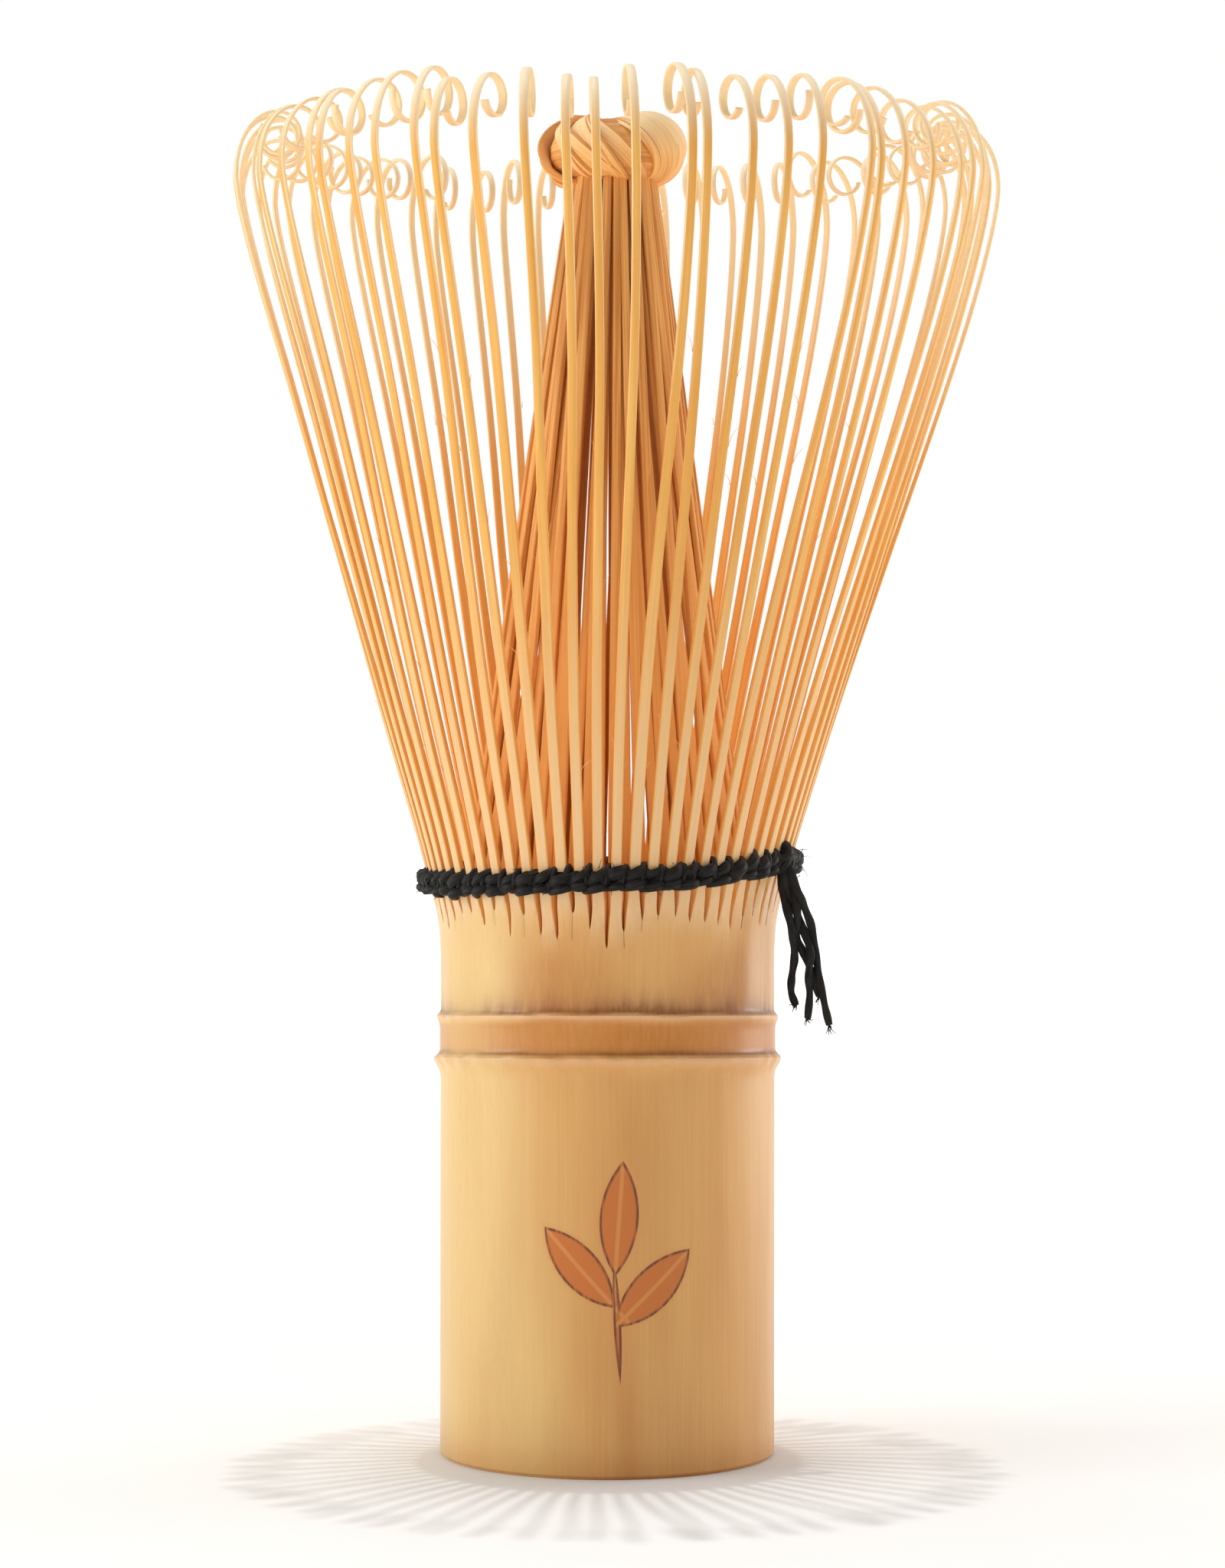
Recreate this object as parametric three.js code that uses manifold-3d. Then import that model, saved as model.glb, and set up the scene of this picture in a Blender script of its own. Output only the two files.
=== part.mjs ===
// Chasen, a bamboo tea whisk. One length of bamboo culm is the handle. Above its node the culm is split
// into a ring of springy outer tines, which flare and curl in at the crown, and a straight cone of inner
// tines, whose tips are gathered in a knot. A black thread, wound twice round the foot of the outer tines,
// holds the two rings apart.
// Millimetres, +Z up, origin at the centre of the handle's bottom rim. Azimuths run from +X towards +Y.
import * as THREE from 'three';
import { mergeVertices } from 'three/addons/utils/BufferGeometryUtils.js';
import Module from 'manifold-3d';

const wasm = await Module();
wasm.setup();

// Handle: the culm below and around its node
const culmRadius = 13.0;
const culmWall = 2.6;
const nodeHeight = 32.4;
const nodeGrooveRise = 0.1;
const nodeRidgeRise = 0.55;
const nodeRidgeSpacing = 3.2;
const diaphragmThickness = 1.4;
const rimChamfer = 0.3;

// Splitting: saw-like slots start above the node and leave the feet of the outer tines between them
const tineCount = 64;
const tinesPerPair = 2;
const nodeToSplit = 9.1;
const splitToFoot = 6.1;
const slotPointDepth = 1.1;
const deepSlotEvery = 4;
const deepSlotExtra = 0.7;

// Outer tines
const tineWidth = 0.8;
const tineRootThickness = 0.4;
const tineTipThickness = 0.22;
const footRootThickness = 0.85;
const footWebHeight = 1.0;
const footToCrown = 51.2;
const crownRadius = 29.4;
const crownBendDrop = 2.5;
const crownBendLength = 9.5;
const curlRadius = 1.75;
const curlInset = 3.5;
const curlRise = 3.3;
const curlTurns = 1.15;
const curlTightening = 0.45;

// Inner tines and the knot of their tips
const innerGroupCount = 16;
const innerTipRadius = 3.25;
const innerTineWidth = 0.85;
const innerTineThickness = 0.4;
const innerTipGap = 0.14;
const innerWebHeight = 1.0;
const knotAboveCrown = 0.2;
const knotRadius = 5.6;
const knotHeight = 5.0;
const knotDimple = 1.2;

// Thread
const splitToThread = 3.0;
const threadRise = 1.8;
const threadRiseSharpness = 4;
const threadKnotAzimuth = THREE.MathUtils.degToRad(-24);
const strandDepth = 0.45;
const strandHeight = 0.66;
const threadKnotWidth = 1.2;
const threadKnotHeight = 2.0;
const tailDiameter = 0.42;

const clearance = 0.3;
const circleSides = 64;
const threadSides = 8;

// Values that follow from the ones above
const pitch = 2 * Math.PI / tineCount;
const boreRadius = culmRadius - culmWall;
const splitHeight = nodeHeight + nodeToSplit;
const footHeight = splitHeight + splitToFoot;
const crownHeight = footHeight + footToCrown;
const bendHeight = crownHeight - crownBendDrop;
const flareBaseRadius = culmRadius - tineRootThickness;
const flareSlope = (crownRadius - flareBaseRadius) / (bendHeight - splitHeight);
const innerFootRadius = culmRadius - footRootThickness - clearance - innerTineThickness / 2;
const innerFootHeight = splitHeight + clearance;
const knotBase = crownHeight + knotAboveCrown;

// Radius of an outer tine's centreline on its straight flare
function flareRadius(height) {
  return flareBaseRadius + flareSlope * (height - splitHeight);
}

// Radius of the outside of the fixed feet of the outer tines, which the thread lies on
function footOuterRadius(height) {
  const topRadius = flareRadius(footHeight) + tineRootThickness / 2;
  return THREE.MathUtils.mapLinear(height, splitHeight, footHeight, culmRadius, topRadius);
}

function solidFrom(geometry) {
  const bare = geometry.index ? geometry : mergeVertices(geometry);
  bare.deleteAttribute('normal');
  bare.deleteAttribute('uv');
  const merged = mergeVertices(bare, 1e-4);
  return new wasm.Manifold(new wasm.Mesh({
    numProp: 3,
    vertProperties: Float32Array.from(merged.attributes.position.array),
    triVerts: Uint32Array.from(merged.index.array),
  }));
}

function geometryFrom(solid) {
  const mesh = solid.getMesh();
  const geometry = new THREE.BufferGeometry();
  geometry.setAttribute('position', new THREE.BufferAttribute(mesh.vertProperties, 3));
  geometry.setIndex(new THREE.BufferAttribute(mesh.triVerts, 1));
  geometry.computeVertexNormals();
  return geometry;
}

function joined(geometries) {
  const [first, ...rest] = geometries.map(solidFrom);
  return geometryFrom(rest.reduce((sum, solid) => sum.add(solid), first));
}

// A solid of revolution about +Z from a closed outline of [radius, height] points
function turned(outline, sides = circleSides) {
  const points = outline.map(([radius, height]) => new THREE.Vector2(radius, height));
  return new THREE.LatheGeometry(points, sides).rotateX(Math.PI / 2);
}

// An outline in the plane of radius (x) and height (y), given a thickness across that plane and
// stood up in the plane through +Z at the given azimuth
function radialPlate(outline, thickness, azimuth) {
  const geometry = new THREE.ExtrudeGeometry(new THREE.Shape(outline), {
    depth: thickness, steps: 1, bevelEnabled: false,
  });
  geometry.translate(0, 0, -thickness / 2);
  geometry.rotateX(Math.PI / 2);
  geometry.rotateZ(azimuth);
  return geometry;
}

// A flat segment of a ring, between two azimuths
function ringSegment(innerRadius, outerRadius, bottom, height, startAzimuth, endAzimuth) {
  const shape = new THREE.Shape();
  shape.absarc(0, 0, outerRadius, startAzimuth, endAzimuth, false);
  shape.absarc(0, 0, innerRadius, endAzimuth, startAzimuth, true);
  const geometry = new THREE.ExtrudeGeometry(shape, {
    depth: height, steps: 1, bevelEnabled: false, curveSegments: 1,
  });
  geometry.translate(0, 0, bottom);
  return geometry;
}

// ---- Handle ----

// The culm from its open bottom to the top of the tine feet, before the slots are cut
function culmBlank() {
  const grooveRadius = culmRadius + nodeGrooveRise;
  const ridgeRadius = culmRadius + nodeRidgeRise;
  const halfSpacing = nodeRidgeSpacing / 2;
  return turned([
    [boreRadius, 0],
    [culmRadius - rimChamfer, 0],
    [culmRadius, rimChamfer],
    [culmRadius, nodeHeight - nodeRidgeSpacing],
    [ridgeRadius, nodeHeight - halfSpacing],
    [grooveRadius, nodeHeight],
    [ridgeRadius, nodeHeight + halfSpacing],
    [culmRadius, nodeHeight + nodeRidgeSpacing],
    [culmRadius, splitHeight],
    [footOuterRadius(footHeight), footHeight],
    [footOuterRadius(footHeight) - tineRootThickness, footHeight],
    [culmRadius - footRootThickness, splitHeight],
    [boreRadius, splitHeight],
    [boreRadius, 0],
  ]);
}

// A saw cut between two neighbouring feet, pointed at the bottom
function slotCutter(azimuth, deep) {
  const overshoot = 1;
  const slotBottom = splitHeight - (deep ? deepSlotExtra : 0);
  const slotTop = footHeight + overshoot;
  const bladeLength = culmWall + 2 * overshoot;
  const slotHalf = (pitch * culmRadius - tineWidth) / 2;
  const topHalf = (pitch * footOuterRadius(slotTop) - tineWidth) / 2;
  const shape = new THREE.Shape([
    new THREE.Vector2(0, slotBottom - slotPointDepth),
    new THREE.Vector2(slotHalf, slotBottom),
    new THREE.Vector2(topHalf, slotTop),
    new THREE.Vector2(-topHalf, slotTop),
    new THREE.Vector2(-slotHalf, slotBottom),
  ]);
  const geometry = new THREE.ExtrudeGeometry(shape, { depth: bladeLength, steps: 1, bevelEnabled: false });
  geometry.rotateX(Math.PI / 2);
  geometry.rotateZ(Math.PI / 2);
  geometry.translate(culmRadius - footRootThickness - clearance, 0, 0);
  geometry.rotateZ(azimuth);
  return geometry;
}

function culmGeometry() {
  let culm = solidFrom(culmBlank());
  for (let i = 0; i < tineCount; i += 1) {
    const cutter = solidFrom(slotCutter((i + 1) * pitch, (i + 1) % deepSlotEvery === 0));
    culm = culm.subtract(cutter);
  }
  return geometryFrom(culm);
}

// The natural wall across the culm at its node
function diaphragmGeometry() {
  const radius = boreRadius - clearance;
  const bottom = nodeHeight - diaphragmThickness / 2;
  const top = nodeHeight + diaphragmThickness / 2;
  return turned([[0, bottom], [radius, bottom], [radius, top], [0, top]], circleSides / 2);
}

// ---- Outer tines ----

// Stations along one outer tine's centreline, in the plane of radius and height: up the straight flare,
// round the crown, and in along a spiral that settles to the curl's radius
function tineCentreline() {
  const bendStart = bendHeight - crownBendLength;
  const foot = footHeight + clearance;
  const line = [
    new THREE.Vector2(flareRadius(foot), foot),
    new THREE.Vector2(flareRadius(bendStart), bendStart),
  ];
  const crown = new THREE.QuadraticBezierCurve(
    line[1],
    new THREE.Vector2(crownRadius, bendHeight),
    new THREE.Vector2(crownRadius, crownHeight),
  );
  line.push(crown.getPoint(0.45));
  const centre = new THREE.Vector2(crownRadius - curlInset, crownHeight + curlRise);
  const startRadius = Math.hypot(curlInset, curlRise);
  const startAngle = -Math.atan2(curlRise, curlInset);
  // The spiral leaves the crown straight up, which sets how fast its radius settles
  const settleAngle = (startRadius - curlRadius) / (startRadius * Math.tan(-startAngle));
  const curlSteps = 8;
  for (let i = 0; i <= curlSteps; i += 1) {
    const turnedBy = 2 * Math.PI * curlTurns * i / curlSteps;
    const radius = curlRadius
      + (startRadius - curlRadius) * Math.exp(-turnedBy / settleAngle)
      - curlTightening * turnedBy / (2 * Math.PI);
    const angle = startAngle + turnedBy;
    line.push(new THREE.Vector2(
      centre.x + radius * Math.cos(angle),
      centre.y + radius * Math.sin(angle),
    ));
  }
  return line;
}

// The centreline widened to the strip's tapering thickness
function tineOutline() {
  const line = tineCentreline();
  const lengths = [0];
  for (let i = 1; i < line.length; i += 1) {
    lengths.push(lengths[i - 1] + line[i].distanceTo(line[i - 1]));
  }
  const total = lengths[lengths.length - 1];
  const outer = [];
  const inner = [];
  line.forEach((point, i) => {
    const before = line[Math.max(i - 1, 0)];
    const after = line[Math.min(i + 1, line.length - 1)];
    const along = after.clone().sub(before).normalize();
    const thickness = THREE.MathUtils.lerp(tineRootThickness, tineTipThickness, lengths[i] / total);
    const across = new THREE.Vector2(along.y, -along.x).multiplyScalar(thickness / 2);
    outer.push(point.clone().add(across));
    inner.unshift(point.clone().sub(across));
  });
  return [...outer, ...inner];
}

// Two neighbouring tines on one foot, about azimuth 0
function tinePairGeometry() {
  const outline = tineOutline();
  const foot = footHeight + clearance;
  const footRadius = flareRadius(foot);
  const webReach = (tinesPerPair - 1) * pitch / 2;
  const pieces = [ringSegment(
    footRadius - tineRootThickness / 2,
    footRadius + tineRootThickness / 2,
    foot,
    footWebHeight,
    -webReach,
    webReach,
  )];
  for (let i = 0; i < tinesPerPair; i += 1) {
    pieces.push(radialPlate(outline, tineWidth, (i - (tinesPerPair - 1) / 2) * pitch));
  }
  return joined(pieces);
}

// ---- Inner tines ----

// The inner tines behind one sector of the outer ones, about azimuth 0: a comb of slivers on one foot,
// which lean in to the knot and narrow as they go
function innerGroupGeometry() {
  const tines = tineCount / innerGroupCount;
  const run = innerFootRadius - innerTipRadius;
  const rise = knotBase - clearance - innerFootHeight;
  const length = Math.hypot(run, rise);
  const rootHalf = innerTineWidth / 2;
  const tipHalf = (pitch * innerTipRadius - innerTipGap) / 2;
  const comb = [];
  for (let i = 0; i < tines; i += 1) {
    const spread = Math.tan((i - (tines - 1) / 2) * pitch);
    const root = spread * innerFootRadius;
    const tip = spread * innerTipRadius;
    comb.push(new THREE.Vector2(root - rootHalf, innerWebHeight));
    comb.push(new THREE.Vector2(tip - tipHalf, length));
    comb.push(new THREE.Vector2(tip + tipHalf, length));
    comb.push(new THREE.Vector2(root + rootHalf, innerWebHeight));
  }
  comb.push(new THREE.Vector2(comb[comb.length - 1].x, 0));
  comb.push(new THREE.Vector2(comb[0].x, 0));
  const geometry = new THREE.ExtrudeGeometry(new THREE.Shape(comb), {
    depth: innerTineThickness, steps: 1, bevelEnabled: false,
  });
  geometry.translate(0, 0, -innerTineThickness / 2);
  geometry.rotateX(Math.PI / 2);
  geometry.rotateZ(Math.PI / 2);
  geometry.rotateY(-Math.atan2(run, rise));
  geometry.translate(innerFootRadius, 0, innerFootHeight);
  return geometry;
}

// The gathered tips: a squat bun with a dimple on top
function knotGeometry() {
  const waist = knotHeight / 2;
  const outline = [[0, knotBase]];
  const steps = 5;
  for (let i = 0; i <= steps; i += 1) {
    const angle = -Math.PI / 2 + Math.PI * i / steps;
    outline.push([
      knotRadius - waist + waist * Math.cos(angle),
      knotBase + waist + waist * Math.sin(angle),
    ]);
  }
  outline.push([0, knotBase + knotHeight - knotDimple]);
  return turned(outline, circleSides / 2);
}

// ---- Thread ----

// The rounds climb towards the knot that ends them
function threadCentreHeight(azimuth) {
  const nearness = (1 + Math.cos(azimuth - threadKnotAzimuth)) / 2;
  return splitHeight + splitToThread + threadRise * nearness ** threadRiseSharpness;
}

class ThreadRound extends THREE.Curve {
  constructor(heightOffset, openHalfAngle) {
    super();
    this.heightOffset = heightOffset;
    this.openHalfAngle = openHalfAngle;
  }

  getPoint(t, target = new THREE.Vector3()) {
    const sweep = 2 * (Math.PI - this.openHalfAngle);
    const azimuth = threadKnotAzimuth + this.openHalfAngle + sweep * t;
    const height = threadCentreHeight(azimuth) + this.heightOffset;
    const radius = footOuterRadius(height) + clearance + strandDepth / 2;
    return target.set(radius * Math.cos(azimuth), radius * Math.sin(azimuth), height);
  }
}

function sweptEllipse(path, steps, width, height) {
  const ellipse = new THREE.EllipseCurve(0, 0, width / 2, height / 2);
  const section = new THREE.Shape(ellipse.getPoints(threadSides).slice(0, threadSides));
  return new THREE.ExtrudeGeometry(section, { extrudePath: path, steps, bevelEnabled: false });
}

function threadRoundGeometry(heightOffset) {
  const openHalfAngle = (threadKnotWidth / 2 + clearance) / culmRadius;
  return sweptEllipse(new ThreadRound(heightOffset, openHalfAngle), 30, strandHeight, strandDepth);
}

const threadKnotCentreHeight = threadCentreHeight(threadKnotAzimuth) + strandHeight;
const threadKnotTop = threadKnotCentreHeight + threadKnotHeight / 2;
const threadKnotRadius = footOuterRadius(threadKnotTop) + clearance + threadKnotWidth / 2;

function threadKnotGeometry() {
  const geometry = new THREE.SphereGeometry(threadKnotWidth / 2, 10, 6);
  geometry.rotateX(Math.PI / 2);
  geometry.scale(1, 1, threadKnotHeight / threadKnotWidth);
  return geometry;
}

// The cut ends of the thread hang from the knot and splay. Each is given by how far its end stands out
// from the knot along the radius and round the handle, and by how far down it reaches.
const tailEnds = [
  { out: 0.5, round: 0.2, drop: 10.0 },
  { out: 1.6, round: 0.3, drop: 11.3 },
  { out: 3.2, round: 0.5, drop: 11.8 },
];

function tailGeometry(end, index) {
  const top = threadKnotCentreHeight - threadKnotHeight / 2 - clearance - tailDiameter / 2;
  const startRound = (index - (tailEnds.length - 1) / 2) * (tailDiameter + clearance);
  const path = new THREE.CubicBezierCurve3(
    new THREE.Vector3(0, startRound, top),
    new THREE.Vector3(0, startRound, top - end.drop / 3),
    new THREE.Vector3(end.out / 2, (startRound + end.round) / 2, top - 2 * end.drop / 3),
    new THREE.Vector3(end.out, startRound + end.round, top - end.drop),
  );
  return sweptEllipse(path, 9, tailDiameter, tailDiameter);
}

// ---- Materials and assembly ----

const bambooSkin = new THREE.MeshStandardMaterial({ color: '#e2bd85', roughness: 0.5, metalness: 0 });
const bambooPith = new THREE.MeshStandardMaterial({ color: '#d9b27c', roughness: 0.8, metalness: 0 });
const outerTineWood = new THREE.MeshStandardMaterial({ color: '#e8be85', roughness: 0.5, metalness: 0 });
const innerTineWood = new THREE.MeshStandardMaterial({ color: '#c8813f', roughness: 0.6, metalness: 0 });
const blackThread = new THREE.MeshStandardMaterial({ color: '#1e1a18', roughness: 0.9, metalness: 0 });

const chasen = new THREE.Group();

function addPart(name, geometry, material, parent = chasen) {
  const mesh = new THREE.Mesh(geometry, material);
  mesh.name = name;
  parent.add(mesh);
  return mesh;
}

function numbered(name, index) {
  return `${name}_${String(index + 1).padStart(2, '0')}`;
}

function addRing(name, count, geometry, material) {
  for (let i = 0; i < count; i += 1) {
    addPart(numbered(name, i), geometry, material).rotation.z = (i + 0.5) * 2 * Math.PI / count;
  }
}

addPart('culm_handle', culmGeometry(), bambooSkin);
addPart('node_diaphragm', diaphragmGeometry(), bambooPith);
addRing('outer_tine_pair', tineCount / tinesPerPair, tinePairGeometry(), outerTineWood);
addRing('inner_tine_group', innerGroupCount, innerGroupGeometry(), innerTineWood);
addPart('centre_knot', knotGeometry(), innerTineWood);

const roundOffset = (strandHeight + clearance) / 2;
addPart('thread_lower_round', threadRoundGeometry(-roundOffset), blackThread);
addPart('thread_upper_round', threadRoundGeometry(roundOffset), blackThread);

const threadEnds = new THREE.Group();
threadEnds.position.set(
  threadKnotRadius * Math.cos(threadKnotAzimuth),
  threadKnotRadius * Math.sin(threadKnotAzimuth),
  0,
);
threadEnds.rotation.z = threadKnotAzimuth;
chasen.add(threadEnds);
addPart('thread_knot', threadKnotGeometry(), blackThread, threadEnds).position.z = threadKnotCentreHeight;
tailEnds.forEach((end, i) => {
  addPart(`thread_tail_${i + 1}`, tailGeometry(end, i), blackThread, threadEnds);
});

export default chasen;
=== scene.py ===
# %% [markdown]
# # A bamboo tea whisk
#
# A tea whisk is carved from one length of bamboo: a handle, a node, and above the node the culm is split
# into 64 outer tines that spread and curl, and 64 inner tines that are gathered in a knot. One black
# thread is woven round the feet of the outer tines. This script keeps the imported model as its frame, and
# builds what the eye sees around it: every tine as its own shaved sliver, the woven thread, the finishes.
# The first cell loads the frame. Each later cell makes one thing and prints what it made.

import bpy
import numpy as np
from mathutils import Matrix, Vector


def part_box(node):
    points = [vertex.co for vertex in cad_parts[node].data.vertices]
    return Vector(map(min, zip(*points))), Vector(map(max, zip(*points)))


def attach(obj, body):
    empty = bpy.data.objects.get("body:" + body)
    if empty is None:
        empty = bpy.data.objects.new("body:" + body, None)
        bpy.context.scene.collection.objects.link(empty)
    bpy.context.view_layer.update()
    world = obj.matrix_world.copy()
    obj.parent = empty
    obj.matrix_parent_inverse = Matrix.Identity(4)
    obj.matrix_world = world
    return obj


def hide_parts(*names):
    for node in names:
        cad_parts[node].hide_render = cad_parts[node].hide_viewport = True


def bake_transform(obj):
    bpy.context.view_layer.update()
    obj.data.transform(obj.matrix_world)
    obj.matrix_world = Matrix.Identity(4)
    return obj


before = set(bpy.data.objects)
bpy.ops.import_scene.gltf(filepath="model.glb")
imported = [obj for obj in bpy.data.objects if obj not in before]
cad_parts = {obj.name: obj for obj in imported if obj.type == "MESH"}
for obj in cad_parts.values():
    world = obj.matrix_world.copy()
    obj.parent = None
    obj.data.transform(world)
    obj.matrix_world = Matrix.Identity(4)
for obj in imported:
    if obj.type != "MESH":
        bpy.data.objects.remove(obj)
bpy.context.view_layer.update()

# %% [markdown]
# ## Units and helpers
#
# The shapes are worked out in millimetres, because a maker thinks in them, and turned to metres when a
# mesh is made. Heights are above the table and angles go round the whisk, with -90 degrees at its front.
# A tube or a sliver could be a curve object with a bevel. Here each is a grid of points instead: rows
# along it and columns round it, worked out as whole arrays, so that its width, thickness and twist can
# change along the way.

# %% Measures that every piece shares
MM = 0.001
TINES = 64
PITCH = 2 * np.pi / TINES
tine_angles = (np.arange(TINES) + 0.5) * PITCH
knot_low, knot_high = (corner.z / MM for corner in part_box("centre_knot"))
print("knot from", round(knot_low, 2), "to", round(knot_high, 2), "mm")


# %% Smooth curves, random ripples and directions
def smooth_curve(knots, values, at):
    """A cubic through the values at the knots. Its slope at a knot is that of its two neighbours."""
    knots = np.asarray(knots, float)
    values = np.asarray(values, float)
    slopes = np.gradient(values, knots, axis=0)
    at = np.clip(at, knots[0], knots[-1])
    i = np.clip(np.searchsorted(knots, at) - 1, 0, len(knots) - 2)
    step = knots[i + 1] - knots[i]
    t = (at - knots[i]) / step
    if values.ndim > 1:
        step = step[..., None]
        t = t[..., None]
    start = (2 * t**3 - 3 * t**2 + 1) * values[i] + (t**3 - 2 * t**2 + t) * step * slopes[i]
    end = (3 * t**2 - 2 * t**3) * values[i + 1] + (t**3 - t**2) * step * slopes[i + 1]
    return start + end


def ramp(value, low, high):
    """0 below low, 1 above high, and an even S between them."""
    t = np.clip((value - low) / (high - low), 0, 1)
    return t * t * (3 - 2 * t)


def ripple(seed, angle, height, most_turns, per_mm, waves=14):
    """A smooth random number for each place on a tube: a sum of sine waves, each of which goes a whole
    number of times round, so that the pattern meets itself."""
    rng = np.random.default_rng(seed)
    total = 0
    for _ in range(waves):
        turns = rng.integers(1, most_turns + 1)
        rate, shift = rng.uniform((-per_mm, 0), (per_mm, 2 * np.pi))
        total = total + np.sin(turns * angle + rate * height + shift)
    return total / np.sqrt(waves)


def outwards(angle):
    """The level direction away from the whisk's axis at an angle."""
    return np.stack([np.cos(angle), np.sin(angle), np.zeros_like(angle)], axis=-1)


def unit(vectors):
    """The vectors, each a length of 1."""
    return vectors / np.linalg.norm(vectors, axis=-1, keepdims=True)


print("ripple at the front:", round(float(ripple(1, -np.pi / 2, 0, 9, 0.5)), 3))


# %% Grids that become closed skins
def grid_faces(rows, columns, closed_rows=False, closed_columns=False):
    """The four corners of each face of a grid of points, numbered row by row."""
    row = np.arange(rows if closed_rows else rows - 1)[:, None]
    column = np.arange(columns if closed_columns else columns - 1)[None, :]
    next_row = (row + 1) % rows
    next_column = (column + 1) % columns
    corners = [row * columns + column, row * columns + next_column]
    corners += [next_row * columns + next_column, next_row * columns + column]
    return np.stack([np.broadcast_to(c, (row.size, column.size)) for c in corners], -1).reshape(-1, 4)


def end_faces(columns):
    """Faces across a section with an even number of points: each joins two of its opposite pairs."""
    i = np.arange(columns // 2 - 1)
    return np.stack([i, i + 1, columns - 2 - i, columns - 1 - i], -1)


def facing_out(points, faces):
    """The faces, turned over if the volume that they close comes out negative."""
    a, b, c, d = (points[faces[:, k]] for k in range(4))
    volume = (np.cross(a, b) * c).sum() + (np.cross(a, c) * d).sum()
    return faces if volume > 0 else faces[:, ::-1]


def sweep(path, across, out, section, closed=False):
    """A skin round a path. The point j of row i is path + across * x + out * y, where x, y is the
    section's point j at that row. Returns the points, the faces and each face's column."""
    rows, columns = section.shape[:2]
    points = path[:, None] + across[:, None] * section[..., :1] + out[:, None] * section[..., 1:]
    points = points.reshape(-1, 3)
    faces = grid_faces(rows, columns, closed, True)
    column = np.tile(np.arange(columns), len(faces) // columns)
    if not closed:
        ends = end_faces(columns)
        faces = np.concatenate([faces, ends, ends[:, ::-1] + (rows - 1) * columns])
        column = np.concatenate([column, np.full(2 * len(ends), -1)])
    return points, facing_out(points, faces), column


def tube(path, radius, out_hint, flat=1.0, closed=False, corners=8):
    """A round cord along a path, flat times as thick towards out_hint as it is wide. Its section is a
    ring of corners at the radius, and the radius may change along the path."""
    path = np.asarray(path, float)
    if closed:
        tangent = unit(np.roll(path, -1, 0) - np.roll(path, 1, 0))
    else:
        tangent = unit(np.gradient(path, axis=0))
    across = unit(np.cross(tangent, np.broadcast_to(out_hint, path.shape)))
    out = np.cross(across, tangent)
    turn = 2 * np.pi * (np.arange(corners) + 0.5) / corners
    size = np.broadcast_to(radius, len(path))[:, None]
    section = np.stack([np.cos(turn) * size, np.sin(turn) * size * flat], -1)
    points, faces, _ = sweep(path, across, out, section, closed)
    steps = np.linalg.norm(np.diff(path, axis=0), axis=1)
    along = np.concatenate([[0], np.cumsum(steps)])
    grain = np.concatenate([section, np.broadcast_to(along[:, None, None], section.shape[:2] + (1,))], -1)
    return {"points": points, "faces": faces, "grain": grain.reshape(-1, 3)}


print("a square tube of 3 rows has", len(grid_faces(3, 4, False, True)), "faces round it")


# %% From grids to a piece of the whisk
def join(shells):
    """Several skins as one. Each piece of wood in it gets its own stretch of the grain pattern."""
    start = np.cumsum([0] + [len(s["points"]) for s in shells])
    looks = [np.broadcast_to(s.get("look", 0), len(s["faces"])) for s in shells]
    return {
        "points": np.concatenate([s["points"] for s in shells]),
        "faces": np.concatenate([s["faces"] + n for s, n in zip(shells, start)]),
        "grain": np.concatenate([s["grain"] for s in shells]),
        "look": np.concatenate(looks),
    }


def make_piece(name, shell, materials, stands_for, body=None, sharp_deg=40):
    """A mesh object from a skin, in metres, with its grain as an attribute. It rides on the body."""
    mesh = bpy.data.meshes.new(name)
    mesh.from_pydata((shell["points"] * MM).tolist(), [], shell["faces"].tolist())
    for material in materials:
        mesh.materials.append(material)
    mesh.polygons.foreach_set("material_index", np.asarray(shell["look"], np.int32))
    grain = mesh.attributes.new("grain", "FLOAT_VECTOR", "POINT")
    grain.data.foreach_set("vector", shell["grain"].astype(np.float32).ravel())
    mesh.shade_smooth()
    mesh.set_sharp_from_angle(angle=np.radians(sharp_deg))
    piece = bpy.data.objects.new(name, mesh)
    bpy.context.scene.collection.objects.link(piece)
    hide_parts(*stands_for)
    if body:
        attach(piece, body)
    return piece


print("frame nodes that pieces will stand for:", len(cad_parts))

# %% [markdown]
# ## Finishes
#
# Bamboo is bundles of pale fibres in softer pith. The skin of the culm is hard, dense and a little waxy,
# so it is smooth and shows only fine lines along it. Where a knife has cut it, the softer wood shows,
# more orange and matt, with coarser lines. A picture of bamboo could be wrapped round it, but noise
# stretched along the fibres needs no picture and never repeats. Every wooden piece has an attribute
# called grain: where a point would be if its sliver were laid straight, in millimetres. The patterns read
# that, so the fibres follow a tine round its curl.


# %% Colour and node helpers
def srgb(code):
    """A hex colour as the eye sees it, turned to the linear light that the shader works with."""
    value = np.array([int(code[i:i + 2], 16) for i in (1, 3, 5)]) / 255
    linear = np.where(value <= 0.04045, value / 12.92, ((value + 0.055) / 1.055) ** 2.4)
    return (*linear.tolist(), 1.0)


def add_node(tree, kind, inputs, **settings):
    """Adds a node. A setting is a property, and an input is a socket to link from or a plain value."""
    node = tree.nodes.new("ShaderNode" + kind)
    for name, value in settings.items():
        setattr(node, name, value)
    for key, value in inputs.items():
        if isinstance(value, bpy.types.NodeSocket):
            tree.links.new(value, node.inputs[key])
        else:
            node.inputs[key].default_value = value
    return node


def new_material(name, **values):
    """A material with a Principled shader, whose plain values are set on its own sockets."""
    material = bpy.data.materials.new(name)
    material.use_nodes = True
    tree = material.node_tree
    shader = tree.nodes["Principled BSDF"]
    for socket, value in values.items():
        shader.inputs[socket.replace("_", " ")].default_value = value
    return material, tree, shader


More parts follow.
